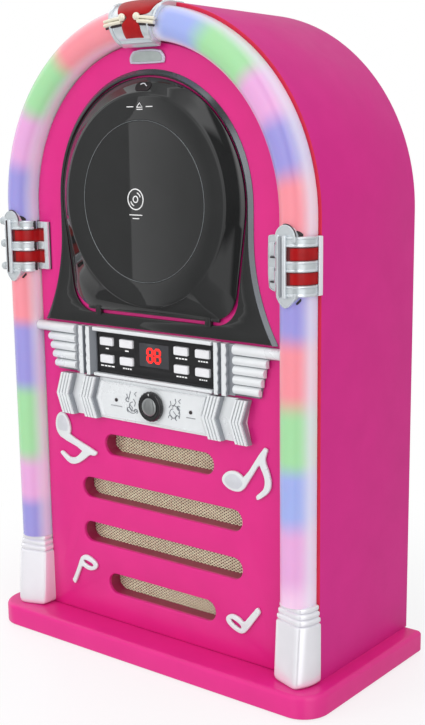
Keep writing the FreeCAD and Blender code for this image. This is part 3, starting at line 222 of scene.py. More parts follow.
def tube_material(name, stops):
    """Frosted light tube: colour bands run along it (UV x), with a painted pale sheen towards its edges (UV y), gently
    lit from inside.
    """
    m = bpy.data.materials.new(name)
    m.use_nodes = True
    nt = m.node_tree
    nd, lk = nt.nodes, nt.links
    bs = nd["Principled BSDF"]
    bs.inputs["Coat Weight"].default_value = 0.5
    bs.inputs["Coat Roughness"].default_value = 0.12
    bs.inputs["Subsurface Weight"].default_value = 0.15
    bs.inputs["Subsurface Scale"].default_value = 0.004
    uv = nd.new("ShaderNodeUVMap")
    uv.uv_map = "run"
    sep = nd.new("ShaderNodeSeparateXYZ")
    lk.new(uv.outputs["UV"], sep.inputs["Vector"])
    tc = nd.new("ShaderNodeTexCoord")
    nz = nd.new("ShaderNodeTexNoise")
    nz.inputs["Scale"].default_value = 30.0
    nz.inputs["Detail"].default_value = 3.0
    lk.new(tc.outputs["Object"], nz.inputs["Vector"])
    wob = nd.new("ShaderNodeMath"); wob.operation = "MULTIPLY_ADD"
    wob.inputs[1].default_value = 0.03
    lk.new(nz.outputs["Fac"], wob.inputs[0])
    lk.new(sep.outputs["X"], wob.inputs[2])
    ramp = nd.new("ShaderNodeValToRGB")
    ramp.color_ramp.interpolation = "EASE"
    els = ramp.color_ramp.elements
    while len(els) > 1:
        els.remove(els[-1])
    els[0].position, els[0].color = stops[0][0] + 0.015, stops[0][1]
    for p, c in stops[1:]:
        e = els.new(min(1.0, p + 0.015))
        e.color = c
    lk.new(wob.outputs[0], ramp.inputs["Fac"])
    # painted sheen: pale towards the rims of the D, where the wall is seen edge-on
    rim = nd.new("ShaderNodeValToRGB")
    rim.color_ramp.interpolation = "EASE"
    rim.color_ramp.elements[0].position, rim.color_ramp.elements[0].color = 0.22, (1, 1, 1, 1)
    rim.color_ramp.elements[1].position, rim.color_ramp.elements[1].color = 0.37, (0, 0, 0, 1)
    e = rim.color_ramp.elements.new(0.66); e.color = (0, 0, 0, 1)
    e = rim.color_ramp.elements.new(0.86); e.color = (1, 1, 1, 1)
    lk.new(sep.outputs["Y"], rim.inputs["Fac"])
    mul = nd.new("ShaderNodeMath"); mul.operation = "MULTIPLY"; mul.inputs[1].default_value = 0.7
    lk.new(rim.outputs["Color"], mul.inputs[0])
    mx = nd.new("ShaderNodeMix"); mx.data_type = "RGBA"
    lk.new(mul.outputs[0], mx.inputs[0])
    lk.new(ramp.outputs["Color"], mx.inputs[6])
    mx.inputs[7].default_value = lin(232, 226, 240)
    lk.new(mx.outputs[2], bs.inputs["Base Color"])
    lk.new(mx.outputs[2], bs.inputs["Emission Color"])
    bs.inputs["Emission Strength"].default_value = 0.07
    mr = nd.new("ShaderNodeMapRange")
    mr.inputs["To Min"].default_value = 0.26
    mr.inputs["To Max"].default_value = 0.42
    lk.new(nz.outputs["Fac"], mr.inputs["Value"])
    lk.new(mr.outputs["Result"], bs.inputs["Roughness"])
    n3 = nd.new("ShaderNodeTexNoise"); n3.inputs["Scale"].default_value = 900.0
    lk.new(tc.outputs["Object"], n3.inputs["Vector"])
    bp = nd.new("ShaderNodeBump"); bp.inputs["Strength"].default_value = 0.05; bp.inputs["Distance"].default_value = 0.0003
    lk.new(n3.outputs["Fac"], bp.inputs["Height"])
    lk.new(bp.outputs["Normal"], bs.inputs["Normal"])
    return m


# ------------------------------------------------------------ mesh helpers
def finish_obj(o, mats, body, smooth=35.0):
    for m in mats:
        o.data.materials.append(m)
    if smooth:
        for p in o.data.polygons:
            p.use_smooth = True
        o.data.set_sharp_from_angle(angle=math.radians(smooth))
    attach(o, body)
    return o


def mesh(name, verts, faces, mats, body="cabinet", smooth=35.0, mat_index=None, normals=True):
    me = bpy.data.meshes.new(name)
    me.from_pydata([(x * S, y * S, z * S) for x, y, z in verts], [], faces)
    me.validate()
    if mat_index:
        for p, i in zip(me.polygons, mat_index):
            p.material_index = i
    if normals:
        bm = bmesh.new()
        bm.from_mesh(me)
        bmesh.ops.recalc_face_normals(bm, faces=bm.faces)
        bm.to_mesh(me)
        bm.free()
    me.update()
    o = bpy.data.objects.new(name, me)
    scene.collection.objects.link(o)
    return finish_obj(o, mats if isinstance(mats, (list, tuple)) else [mats], body, smooth)


def loft(rings, cap0=True, cap1=True, closed=True):
    """Rings of points with equal counts, joined with quads."""
    n = len(rings[0])
    verts = [p for r in rings for p in r]
    faces = []
    for i in range(len(rings) - 1):
        a, b = i * n, (i + 1) * n
        for j in range(n if closed else n - 1):
            k = (j + 1) % n
            faces.append((a + j, a + k, b + k, b + j))
    if cap0:
        faces.append(tuple(range(n))[::-1])
    if cap1:
        a = (len(rings) - 1) * n
        faces.append(tuple(a + j for j in range(n)))
    return verts, faces


class Shape:
    """Collects pieces of mesh with a material index each."""

    def __init__(self):
        self.v, self.f, self.m = [], [], []

    def add(self, vf, mi=0):
        v, f = vf
        o = len(self.v)
        self.v += list(v)
        self.f += [tuple(o + i for i in q) for q in f]
        self.m += [mi] * len(f)
        return self

    def build(self, name, mats, body="cabinet", smooth=35.0):
        return mesh(name, self.v, self.f, mats, body, smooth, self.m)


def arc(cx, cz, r, a0, a1, n):
    return [(cx + r * math.cos(math.radians(a0 + (a1 - a0) * i / n)), cz + r * math.sin(math.radians(a0 + (a1 - a0) * i / n))) for i in range(n + 1)]


def rbox_ring(x0, x1, z0, z1, r, n=4):
    return (arc(x1 - r, z0 + r, r, -90, 0, n) + arc(x1 - r, z1 - r, r, 0, 90, n) + arc(x0 + r, z1 - r, r, 90, 180, n) + arc(x0 + r, z0 + r, r, 180, 270, n))


def pillow(x0, x1, z0, z1, y_front, y_back, r=0.8, edge=0.5, n=4):
    """Rounded block facing -Y with softened front edges."""
    rings = [[(x, y_back, z) for x, z in rbox_ring(x0, x1, z0, z1, r, n)]]
    steps = 3
    for i in range(steps + 1):
        a = math.pi / 2 * i / steps
        ins = edge * (1 - math.cos(a))
        y = y_front + edge - edge * math.sin(a)
        rings.append([(x, y, z) for x, z in rbox_ring(x0 + ins, x1 - ins, z0 + ins, z1 - ins, max(0.05, r - ins * 0.6), n)])
    return loft(rings)


def bar_x(x0, x1, y, z, r, n=14, rx=None):
    """Round bar along X with softened ends."""
    rings = []
    e = min(r * 0.35, 0.8)
    for x, k in ((x0, 1 - e / r), (x0 + e * 0.4, 1 - e / r * 0.3), (x0 + e, 1.0), (x1 - e, 1.0), (x1 - e * 0.4, 1 - e / r * 0.3), (x1, 1 - e / r)):
        rings.append([(x, y + r * k * math.cos(2 * math.pi * j / n), z + r * k * math.sin(2 * math.pi * j / n)) for j in range(n)])
    return loft(rings)


def lathe_y(cx, cz, profile, n=64):
    """Profile of (radius, y) turned about an axis along Y."""
    rings = []
    for r, y in profile:
        rings.append([(cx + r * math.cos(2 * math.pi * j / n), y, cz + r * math.sin(2 * math.pi * j / n)) for j in range(n)])
    return loft(rings)


def flat_curve(name, outlines, y_front, y_back, mats, body="cabinet", bevel=0.5, smooth=40.0, res=2):
    """Slab facing -Y with any outlines and holes and a rounded bevel, front and back."""
    cu = bpy.data.curves.new(name, "CURVE")
    cu.dimensions = "2D"
    cu.fill_mode = "BOTH"
    half = (y_back - y_front) / 2.0
    b = min(bevel, half * 0.95)
    cu.extrude = max(0.0, (half - b)) * S
    cu.bevel_depth = b * S
    cu.bevel_resolution = res
    cu.offset = -b * S
    for pts in outlines:
        sp = cu.splines.new("POLY")
        sp.points.add(len(pts) - 1)
        for q, (x, z) in zip(sp.points, pts):
            q.co = (x * S, z * S, 0.0, 1.0)
        sp.use_cyclic_u = True
    tmp = bpy.data.objects.new(name + "_tmp", cu)
    scene.collection.objects.link(tmp)
    bpy.context.view_layer.update()
    me = bpy.data.meshes.new_from_object(tmp.evaluated_get(bpy.context.evaluated_depsgraph_get()))
    bpy.data.objects.remove(tmp)
    ym = (y_front + y_back) / 2.0 * S
    me.transform(Matrix(((1, 0, 0, 0), (0, 0, -1, ym), (0, 1, 0, 0), (0, 0, 0, 1))))
    me.name = name
    bm = bmesh.new()
    bm.from_mesh(me)
    bmesh.ops.remove_doubles(bm, verts=bm.verts, dist=1e-6)
    bmesh.ops.recalc_face_normals(bm, faces=bm.faces)
    bm.to_mesh(me)
    bm.free()
    me.materials.clear()
    o = bpy.data.objects.new(name, me)
    scene.collection.objects.link(o)
    return finish_obj(o, mats if isinstance(mats, (list, tuple)) else [mats], body, smooth)


def tube_along(points, r, n=8, closed=False):
    """Thin round rod through points."""
    pts = [Vector(p) for p in points]
    rings = []
    m = len(pts)
    for i, p in enumerate(pts):
        a = pts[(i - 1) % m] if (closed or i > 0) else p
        b = pts[(i + 1) % m] if (closed or i < m - 1) else p
        d = (b - a).normalized()
        ref = Vector((0, 1, 0)) if abs(d.y) < 0.9 else Vector((1, 0, 0))
        u = d.cross(ref).normalized()
        w = d.cross(u).normalized()
        rings.append([tuple(p + u * (r * math.cos(2 * math.pi * j / n)) + w * (r * math.sin(2 * math.pi * j / n))) for j in range(n)])
    if closed:
        rings.append(rings[0])
        return loft(rings, False, False)
    return loft(rings)


def stadium(cx, cz, half, r, n=14):
    return arc(cx + half - r, cz, r, -90, 90, n) + arc(cx - half + r, cz, r, 90, 270, n)


def smooth_loop(pts, rounds=2, closed=True):
    """Corner cutting."""
    for _ in range(rounds):
        out = []
        m = len(pts)
        for i in range(m):
            a, b = pts[i], pts[(i + 1) % m]
            out.append(tuple(a[k] * 0.75 + b[k] * 0.25 for k in range(len(a))))
            out.append(tuple(a[k] * 0.25 + b[k] * 0.75 for k in range(len(a))))
        pts = out
    return pts


# ---------------------------------------------------------------- cabinet
def arch_pts(half, low, n=72):
    return [(half, low)] + arc(0, AZ, half, 0, 180, n) + [(-half, low)]


o = flat_curve("cabinet_skin", [arch_pts(144.0, 17.7), arch_pts(141.0, 20.7)], -46.0, 75.0, [PINK, RIM_RED], bevel=0.7)
for p in o.data.polygons:
    if p.normal.y < -0.55:
        p.material_index = 1
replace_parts(o, "cabinet_shell") or o


def plinth_ring(ins, z, r_front=21.0, r_rear=1.6):
    hx, fy, by = 157.5 - ins, -75.0 + ins, 75.0 - ins
    rf, rr = max(0.4, r_front - ins), max(0.4, r_rear - ins * 0.4)
    pts = arc(hx - rf, fy + rf, rf, -90, 0, 14) + arc(hx - rr, by - rr, rr, 0, 90, 3)
    pts += arc(-hx + rr, by - rr, rr, 90, 180, 3) + arc(-hx + rf, fy + rf, rf, 180, 270, 14)
    return [(x, y, z) for x, y in pts]


rings = [plinth_ring(3.2, 6.0), plinth_ring(3.2, 1.0), plinth_ring(0.6, 1.0), plinth_ring(0.15, 1.4), plinth_ring(0.0, 2.2), plinth_ring(0.0, 9.0)]
er = 3.6
for i in range(7):
    a = math.pi / 2 * i / 6
    rings.append(plinth_ring(er * (1 - math.cos(a)), 17.7 - er + er * math.sin(a)))
rings.append(plinth_ring(14.0, 17.7))
v, f = loft(rings, True, True)
o = mesh("plinth_body", v, f, PINK_P, smooth=50)
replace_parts(o, "plinth")

# ------------------------------------------------------------- front panel
SLOTS = [(53.8, 160.8), (79.2, 123.0), (79.2, 86.8), (53.8, 48.6)]
holes = [stadium(0, z, h, 8.1) for h, z in SLOTS]
holes += [arc(0, DZ, 68.0, 0, 357, 119), [(-56, 219), (56, 219), (56, 247), (-56, 247)], arc(0, 197.8, 4.2, 0, 345, 23),
          [(-4.5, 420.5), (4.5, 420.5), (4.5, 429), (-4.5, 429)]]
front = flat_curve("front_moulding", [arch_pts(116.4, 17.9)] + holes, -49.3, -45.8, [PINK_F, PINK_SHADED], bevel=0.9)
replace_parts(front, "front_panel")
sh = Shape()
# slot walls in the darker pink: painted shade in the recesses
for h, z in SLOTS:
    outer, inner = stadium(0, z, h + 1.8, 9.9), stadium(0, z, h, 8.1)
    n = len(inner)
    rings = [[(x, -46.5, zz) for x, zz in inner], [(x, -37.0, zz) for x, zz in inner], [(x, -37.0, zz) for x, zz in outer], [(x, -46.0, zz) for x, zz in outer]]
    sh.add(loft(rings, False, False))
o = sh.build("slot_collars", [PINK_SHADED])
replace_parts(o, "front_panel")
o = flat_curve("tube_seat_rim", [arch_pts(140.9, 17.9), arch_pts(112.0, 25.8)], -46.0, -43.0, [PINK_F], bevel=0.3)
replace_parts(o, "front_panel")

# ------------------------------------------------------- gold diamond mesh
sh = Shape()
PX, PZ = 1.72, 1.15
for h, z in SLOTS:
    v, f, idx = [], [], {}
    nx, nz = int((h + 3) / PX), int(10.5 / PZ)

    def node(i, j, z=z, v=v, idx=idx):
        k = (i, j)
        if k not in idx:
            idx[k] = len(v)
            v.append((i * PX, -37.0 - 0.28 * ((i % 2) * 2 - 1), z + j * PZ))
        return idx[k]
    for i in range(-nx, nx + 1):
        for j in range(-nz, nz + 1):
            if (i + j) % 2 == 0:
                continue
            cx, cz = i * PX, z + j * PZ
            dx, dz_ = max(0.0, abs(cx) - (h - 8.1)), abs(cz - z)
            if math.hypot(dx, dz_) > 9.4:
                continue
            a = [node(i + 1, j), node(i, j + 1), node(i - 1, j), node(i, j - 1)]
            b0 = len(v)
            k = 0.53
            v += [(cx + PX * k, -36.75, cz), (cx, -36.75, cz + PZ * k), (cx - PX * k, -36.75, cz), (cx, -36.75, cz - PZ * k)]
            for q in range(4):
                w = (q + 1) % 4
                f.append((a[q], a[w], b0 + w, b0 + q))
    sh.add((v, f))
gm = sh.build("grille_weave", [GOLD], smooth=0)
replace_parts(gm, "grille_mesh")
sh = Shape()
sh.add(pillow(-86, 86, 34, 176, -36.5, -36.0, 1.0, 0.15))
o = sh.build("grille_cloth", [CLOTH])
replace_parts(o, "grille_mesh")

# --------------------------------------------------------------- light tubes
SAL, VIO, GRN, LIL, BLU, WHT = (lin(230, 136, 148), lin(146, 140, 206), lin(152, 206, 152), lin(216, 158, 206), lin(150, 164, 220), lin(244, 236, 226))


def d_ring(r, n=28):
    """D section as (u, y) from left foot over the front to the right foot, mm."""
    return [(-r, YF)] + [(r * math.cos(math.radians(180 + 180 * i / n)), YF - 6.1 + r * math.sin(math.radians(180 + 180 * i / n))) for i in range(n + 1)] + [(r, YF)]


def tube_obj(name, path, s, stops, node):
    """path: list of functions mapping (u, y) to x, y, z, with run length in mm."""
    sec = d_ring(TR)
    total = path[-1][0]
    rings, us = [], []
    for run, fn in path:
        rings.append([fn(u, y) for u, y in sec])
        us.append(run / total)
    v, f = loft(rings, True, True, closed=True)
    me_o = mesh(name, v, f, [tube_material(name + "_glow", stops)], smooth=50, normals=False)
    me = me_o.data
    uvl = me.uv_layers.new(name="run")
    n = len(sec)
    lens = [0.0]
    for a, b in zip(sec, sec[1:]):
        lens.append(lens[-1] + math.hypot(b[0] - a[0], b[1] - a[1]))
    for lp in me.loops:
        i, j = divmod(lp.vertex_index, n)
        uvl.data[lp.index].uv = (us[i], lens[j] / lens[-1])
    bm = bmesh.new(); bm.from_mesh(me)
    bmesh.ops.recalc_face_normals(bm, faces=bm.faces)
    bm.to_mesh(me); bm.free()
    for p in me.polygons:
        p.use_smooth = True
    me.set_sharp_from_angle(angle=math.radians(50))
    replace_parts(me_o, node)
    return me_o


def column_path(s, z0, z1, k=24):
    return [((z1 - z0) * i / k, (lambda u, y, z=z0 + (z1 - z0) * i / k: (s * TX + u, y, z))) for i in range(k + 1)]


def arch_path(s, z0, deg, k=60):
    out = [((AZ - z0) * i / 4, (lambda u, y, z=z0 + (AZ - z0) * i / 4: (s * (TX + s * u), y, z))) for i in range(4)]
    for i in range(k + 1):
        a = math.radians(deg * i / k)
        out.append(((AZ - z0) + TX * a, (lambda u, y, a=a: (s * (TX + s * u) * math.cos(a), y, AZ + (TX + s * u) * math.sin(a)))))
    return out


Z0, Z1 = 75.4, 309.6


def col_stops(pairs):
    return [((z - Z0) / (Z1 - Z0), c) for z, c in pairs]


tube_obj("glow_column_right", column_path(1, Z0, Z1), 1, col_stops([(78, lin(228, 190, 220)), (98, LIL), (122, LIL), (142, BLU), (165, BLU), (180, GRN), (205, GRN), (225, SAL), (250, SAL), (268, VIO), (300, VIO)]), "light_tube_right")
tube_obj("glow_column_left", column_path(-1, Z0, Z1), -1, col_stops([(78, VIO), (98, VIO), (112, LIL), (132, LIL), (150, GRN), (190, GRN), (206, VIO), (242, VIO), (256, SAL), (300, SAL)]), "light_tube_left")
LA = (AZ - 310.0) + TX * math.radians(89.0)


def arch_stops(pairs):
    return [(((AZ - 310.0) + TX * math.radians(a)) / LA, c) for a, c in pairs]


tube_obj("glow_arch_right", arch_path(1, 310.0, 89.0), 1, arch_stops([(-12, SAL), (8, SAL), (16, VIO), (24, VIO), (32, LIL), (40, LIL), (47, GRN), (60, GRN), (69, BLU), (77, BLU), (86, WHT)]), "light_arch_right")
tube_obj("glow_arch_left", arch_path(-1, 310.0, 89.0), -1, arch_stops([(-12, VIO), (10, VIO), (19, LIL), (29, LIL), (37, GRN), (50, GRN), (59, SAL), (70, SAL), (80, SAL), (87, WHT)]), "light_arch_left")

# -------------------------------------------------------------- column bases
OG = [(-14.4, 0.0), (-14.4, -6.0), (-14.4, -11.6), (-13.8, -14.0), (-11.0, -15.0), (-4.0, -16.8), (4.0, -18.9), (7.8, -19.6), (10.8, -18.2), (14.2, -13.4), (16.3, -7.4), (16.6, -3.0), (16.6, 0.0)]


def og_ring(grow, z, squeeze=0.0, lift=0.0):
    pts = smooth_loop([(a, b) for a, b in OG], 2)
    out = []
    for u, y in pts:
        y = min(0.0, y)
        su = (16.6 + grow - squeeze) / 16.6 if u > 0 else (14.4 + grow - squeeze) / 14.4
        sy = (20.2 + grow - lift) / 20.2
        out.append((u * su, YF + y * sy, z))
    return out


for s, side in ((-1, "left"), (1, "right")):
    cx = s * TX
    rings = []
    for i in range(7):
        a = math.pi / 2 * i / 6
        rings.append((4.2 * (1 - math.sin(a)), 17.8 + 4.2 * (1 - math.cos(a))))
    body = [[(x, y, z) for x, y, z in og_ring(0.0, z, sq, sq * 0.45 - 1.5)] for sq, z in rings]
    body += [og_ring(0.0, 30.0, 0, -0.9), og_ring(-0.2, 60.9, 0, 1.6), og_ring(-0.5, 61.9, 0, 1.7), og_ring(-1.3, 62.4, 0, 1.8), og_ring(-2.2, 62.6, 0, 1.8)]
    for k in range(3):
        z = 62.6 + 4.25 * k
        g = -0.5 - 0.8 * k
        body += [og_ring(gg, zz0, 0, 2.0) for gg, zz0 in ((g - 1.5, z + 0.5), (g - 0.4, z + 0.8), (g, z + 1.4), (g, z + 3.3), (g - 0.4, z + 3.9), (g - 1.5, z + 4.3))]
    body = [[(cx + s * x, y, z) for x, y, z in ring] for ring in body]
    v, f = loft(body)
    o = mesh("pillar_foot_" + side, v, f, PLATED, smooth=38)
    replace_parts(o, "column_base_" + side)

# -------------------------------------------------------------- side clamps
YC = YF - 6.1


def wrap(cx, off, ang, z):
    """Point on the tube's front at off from its surface; ang from straight ahead, degrees, + to the right."""
    r = TR + off
    a = math.radians(ang)
    return (cx + r * math.sin(a), YC - r * math.cos(a), z)


def band(cx, z0, z1, a0, a1, prof, n=26, tail_l=None, tail_r=None):
    """Band round the tube: prof is a closed loop of (off, z fraction)."""
    rings = []
    for i in range(n + 1):
        a = a0 + (a1 - a0) * i / n
        rings.append([wrap(cx, off, a, z0 + (z1 - z0) * t) for off, t in prof])
    if tail_r:
        for dx, y in tail_r:
            rings.append([(cx + dx, YF + y - 0.3 * (off - 2.0), z0 + (z1 - z0) * t) for off, t in prof])
    if tail_l:
        rings = [[(cx + dx, YF + y - 0.3 * (off - 2.0), z0 + (z1 - z0) * t) for off, t in prof] for dx, y in reversed(tail_l)] + rings
    return loft(rings)


LIPPED = [(0.1, 0.02), (2.2, 0.0), (3.0, 0.06), (3.1, 0.16), (2.5, 0.26), (2.3, 0.34), (2.6, 0.5), (2.3, 0.66), (2.5, 0.74), (3.1, 0.84), (3.0, 0.94), (2.2, 1.0), (0.1, 0.98)]
FLATB = [(0.1, 0.0), (1.7, 0.0), (1.9, 0.08), (2.0, 0.5), (1.9, 0.92), (1.7, 1.0), (0.1, 1.0)]


def wrap_plate(cx, pts, top, thick_edge, rings_n=5):
    """Domed plate lying on the tube; pts are (angle, z) round a convex outline."""
    ca = sum(p[0] for p in pts) / len(pts)
    cz = sum(p[1] for p in pts) / len(pts)
    rings = [[wrap(cx, 0.1, a, z) for a, z in pts]]
    for k, off in ((1.0, thick_edge), (0.93, top - 0.25), (0.86, top), (0.74, top), (0.70, top - 0.35), (0.30, top - 0.30)):
        rings.append([wrap(cx, off, ca + (a - ca) * k, cz + (z - cz) * k) for a, z in pts])
    return loft(rings)


def front_plate(cx, pts, y_front, y_back, edge=0.5):
    """Flat plate facing -Y with softened rim; pts are (u, z)."""
    mu = sum(p[0] for p in pts) / len(pts)
    mz = sum(p[1] for p in pts) / len(pts)
    rings = [[(cx + u, y_back, z) for u, z in pts], [(cx + u, y_front + edge, z) for u, z in pts]]
    for k, dy in ((0.985, 0.2), (0.95, 0.0), (0.82, 0.0), (0.78, 0.35), (0.3, 0.35)):
        rings.append([(cx + mu + (u - mu) * k, y_front + edge * dy if k > 0.8 else y_front + dy, mz + (z - mz) * k) for u, z in pts])
    return loft(rings)


def post(cx, ang, off, r, z0, z1):
    rings = []
    c = wrap(cx, off, ang, 0)
    for z, k in ((z0, 0.5), (z0 + 0.4, 0.9), (z0 + 1.2, 1.0), (z1 - 1.2, 1.0), (z1 - 0.4, 0.9), (z1, 0.5)):
        rings.append([(c[0] + r * k * math.cos(2 * math.pi * j / 14), c[1] + r * k * math.sin(2 * math.pi * j / 14), z) for j in range(14)])
    return loft(rings)


for s, side in ((-1, "left"), (1, "right")):
    cx = s * TX
    sh = Shape()
    tl = [(-15.4, -4.4), (-18.0, -4.0)] if s > 0 else [(-14.6, -4.4), (-15.6, -1.5)]
    tr_ = [(14.0, -3.4), (14.4, -0.4)] if s > 0 else None
    a_hi = 90 if s > 0 else 74
    for z0, z1 in ((289.6, 297.2), (305.6, 313.0), (321.8, 328.8)):
        sh.add(band(cx, z0, z1, -30, a_hi, LIPPED, tail_r=tr_), 0)
        sh.add(band(cx, z0 + 2.2, z1 - 2.0, -20, a_hi - 2, [(1.5, 0.0), (2.72, 0.04), (2.72, 0.96), (1.5, 1.0)]), 3)
    # smooth side plate with its stepped grooves, then the pair of upright bars
    sh.add(band(cx, 290.2, 328.4, -88, -14, [(0.1, 0.0), (2.3, 0.0), (2.8, 0.02), (2.8, 0.98), (2.3, 1.0), (0.1, 1.0)], tail_l=tl), 0)
    for z in (296.0, 313.2):
        sh.add(band(cx, z + 0.9, z + 9.8, -64, -42, [(2.6, 0.02), (3.2, 0.05), (3.5, 0.12), (3.5, 0.88), (3.2, 0.95), (2.6, 0.98)], n=8), 0)
    sh.add(post(cx, -23.0, 3.0, 1.1, 288.8, 329.4), 0)
    # this upright bar is darker: painted shade (shaded silver on the right, the shadow line on the left)
    sh.add(post(cx, -12.5, 3.3, 1.15, 289.2, 329.0), 1 if s > 0 else 2)
    sh.add(post(cx, 0.5, 3.6, 1.6, 288.6, 329.6), 0)
    # round ear above, pointed tail below, both flat and facing forward
    yf = YC - TR - 2.0
    ear = [(-0.4 + 8.1 * math.cos(math.radians(t)), 327.4 + 8.8 * math.sin(math.radians(t))) for t in range(0, 181, 10)] + [(-8.4, 325.0), (7.6, 325.0)]
    sh.add(front_plate(cx, ear, yf, YC - TR + 3.0), 0)
    tail = [(-7.8, 292.0), (-7.6, 289.0), (-5.6, 285.6), (-3.0, 282.9), (-0.5, 282.0), (2.0, 283.0), (5.0, 286.0), (7.6, 289.0), (8.4, 292.0)]
    sh.add(front_plate(cx, tail, yf + 0.2, YC - TR + 3.0), 0)
    # dark rod along the ear's upper edge: painted shadow
    rim = [(cx + -0.4 + 8.3 * math.cos(math.radians(t)), yf + 1.0, 327.4 + 9.0 * math.sin(math.radians(t))) for t in range(8, 112, 8)]
    sh.add(tube_along(rim, 0.38, 6), 2)
    hook = [(28, 328.8), (52, 328.8), (52, 330.2), (44, 331.6), (34, 332.4), (28, 332.0)]
    sh.add(wrap_plate(cx, hook, 0.8, 0.6), 2)
    mark = [(30, 285.6), (44, 288.6), (47, 288.2), (46, 287.0), (36, 284.8), (31, 284.6)]
    sh.add(wrap_plate(cx, mark, 0.6, 0.4), 2)
    if s > 0:
        ol = [(cx - 24.2, 293.6), (cx - 20.8, 290.4), (cx - 12.4, 290.4), (cx - 12.4, 328.2), (cx - 22.8, 328.2), (cx - 24.2, 326.8)]
        pts = smooth_loop([(x, z) for x, z in ol], 1)
        cxm, czm = cx - 18.4, 309.3
        rings = []
        for k, y in ((1.0, -49.4), (1.0, -51.6), (0.97, -52.3), (0.90, -52.4), (0.86, -51.9), (0.4, -51.9)):
            rings.append([(cxm + (x - cxm) * k, y, czm + (z - czm) * (1 - (1 - k) * 0.4)) for x, z in pts])
        sh.add(loft(rings), 0)
        for z in (297.2, 313.6):
            sh.add(pillow(cx - 23.0, cx - 18.4, z + 0.8, z + 9.6, -53.0, -51.0, 1.0, 0.5), 0)
            # the dark L beside each raised block: painted shade in the groove
            sh.add(pillow(cx - 17.6, cx - 16.4, z, z + 9.8, -52.9, -51.0, 0.3, 0.2), 2)
            sh.add(pillow(cx - 22.0, cx - 16.4, z - 0.9, z + 0.2, -52.9, -51.0, 0.3, 0.2), 2)
        sh.add(pillow(cx + 14.2, cx + 15.6, 289.8, 328.6, -49.6, -45.7, 0.6, 0.5), 4)
    else:
        sh.add(pillow(cx + 20.4, cx + 24.6, 291.6, 327.8, -52.2, -49.3, 0.9, 0.6), 0)
        for z0, z1 in ((291.6, 296.4), (306.6, 312.8), (322.8, 327.8)):
            sh.add(pillow(cx + 13.6, cx + 22.0, z0, z1, -52.0, -49.3, 0.6, 0.5), 0)
        # dark strip and rod along the plate's edges: painted shade
        sh.add(pillow(cx + 11.6, cx + 13.8, 291.0, 328.4, -50.6, -49.3, 0.4, 0.2), 2)
        sh.add(tube_along([(cx + 24.9, -49.7, 291.6), (cx + 24.9, -49.7, 327.6)], 0.4, 6), 2)
        # dark sheet in the gap between the cuff's bands: painted shade
        sh.add(band(cx, 290.4, 328.2, 68, 89, [(0.1, 0.0), (0.8, 0.0), (0.8, 1.0), (0.1, 1.0)], n=6), 2)
        for z in (291.6, 309.4, 327.0):
            sh.add(lathe_y(cx - 24.6, z, [(0.2, -54.4), (1.8, -54.2), (2.8, -53.4), (3.1, -52.2), (2.8, -50.9), (1.8, -50.1), (0.2, -49.9)], 20), 3)
            sh.add(pillow(cx - 23.5, cx - 15.4, z - 1.6, z + 1.6, -53.0, -50.6, 0.8, 0.5), 0)
        # dark upright block: painted shade
        sh.add(pillow(cx - 17.6, cx - 15.2, 290.8, 328.0, -54.6, -45.8, 0.5, 0.4), 2)
    o = sh.build("clasp_" + side, [CLASP, SILVER_SHADED, SHADOW_LINE, CLASP_G, PLATED], smooth=40)
    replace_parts(o, "side_clamp_" + side)
    sh = Shape()
    w_tail = [(14.0, -3.4), (14.3, -1.2)] if s > 0 else [(14.6, -5.2), (15.6, -4.6), (20.8, -4.6)]
    w_hi = 88 if s > 0 else 84
    for z0, z1 in ((296.6, 306.2), (312.4, 322.2)):
        sh.add(band(cx, z0, z1, 4, w_hi, FLATB, tail_r=w_tail), 0)
        sh.add(band(cx, z0 + 0.3, z1 - 0.3, 4, 14, [(1.6, 0.0), (2.12, 0.02), (2.12, 0.98), (1.6, 1.0)], n=4), 1)
        for zz in (z0 + 0.8, z1 - 0.8):
            sh.add(band(cx, zz - 0.45, zz + 0.45, 4, w_hi, [(1.6, 0.0), (2.15, 0.3), (2.15, 0.7), (1.6, 1.0)], tail_r=w_tail), 1)
    o = sh.build("clasp_windows_" + side, [RED, RED_D])
    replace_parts(o, "clamp_inserts")

# --------------------------------------------------------------- crown clip
def crown(off, along, x):
    """Point on the arch tube's crown; along from straight ahead (0) up (+90 = top) or down (-90), x across in mm."""
    r = TR + off
    a = math.radians(along)
    rho = TX + r * math.sin(a)
    phi = math.radians(90.0) - x / TX
    return (rho * math.cos(phi), YC - r * math.cos(a), AZ + rho * math.sin(phi))


def crown_band(x0, x1, a0, a1, prof, n=26, back=None):
    rings = []
    for i in range(n + 1):
        a = a0 + (a1 - a0) * i / n
        rings.append([crown(off, a, x0 + (x1 - x0) * t) for off, t in prof])
    if back:
        for y in back:
            rings.append([(p[0], y, p[2]) for p in rings[n]])
    return loft(rings)


def crown_patch(rows, top, edge=0.3):
    """Patch given by rows of (along, half width): domed to top."""
    rings = []
    fr = [-1.0, -0.96, -0.86, -0.5, 0.0, 0.5, 0.86, 0.96, 1.0]
    offs = [0.2, top - 0.5, top - 0.05, top, top, top, top - 0.05, top - 0.5, 0.2]
    n = len(rows)
    for i, (a, wl_, wr_) in enumerate(rows):
        k = 0.0 if i in (0, n - 1) else 1.0
        rings.append([crown(0.2 + (o - 0.2) * (1.0 if k else 0.3), a, (wl_ if q < 0 else wr_) * q) for q, o in zip(fr, offs)])
    return loft(rings, True, True)


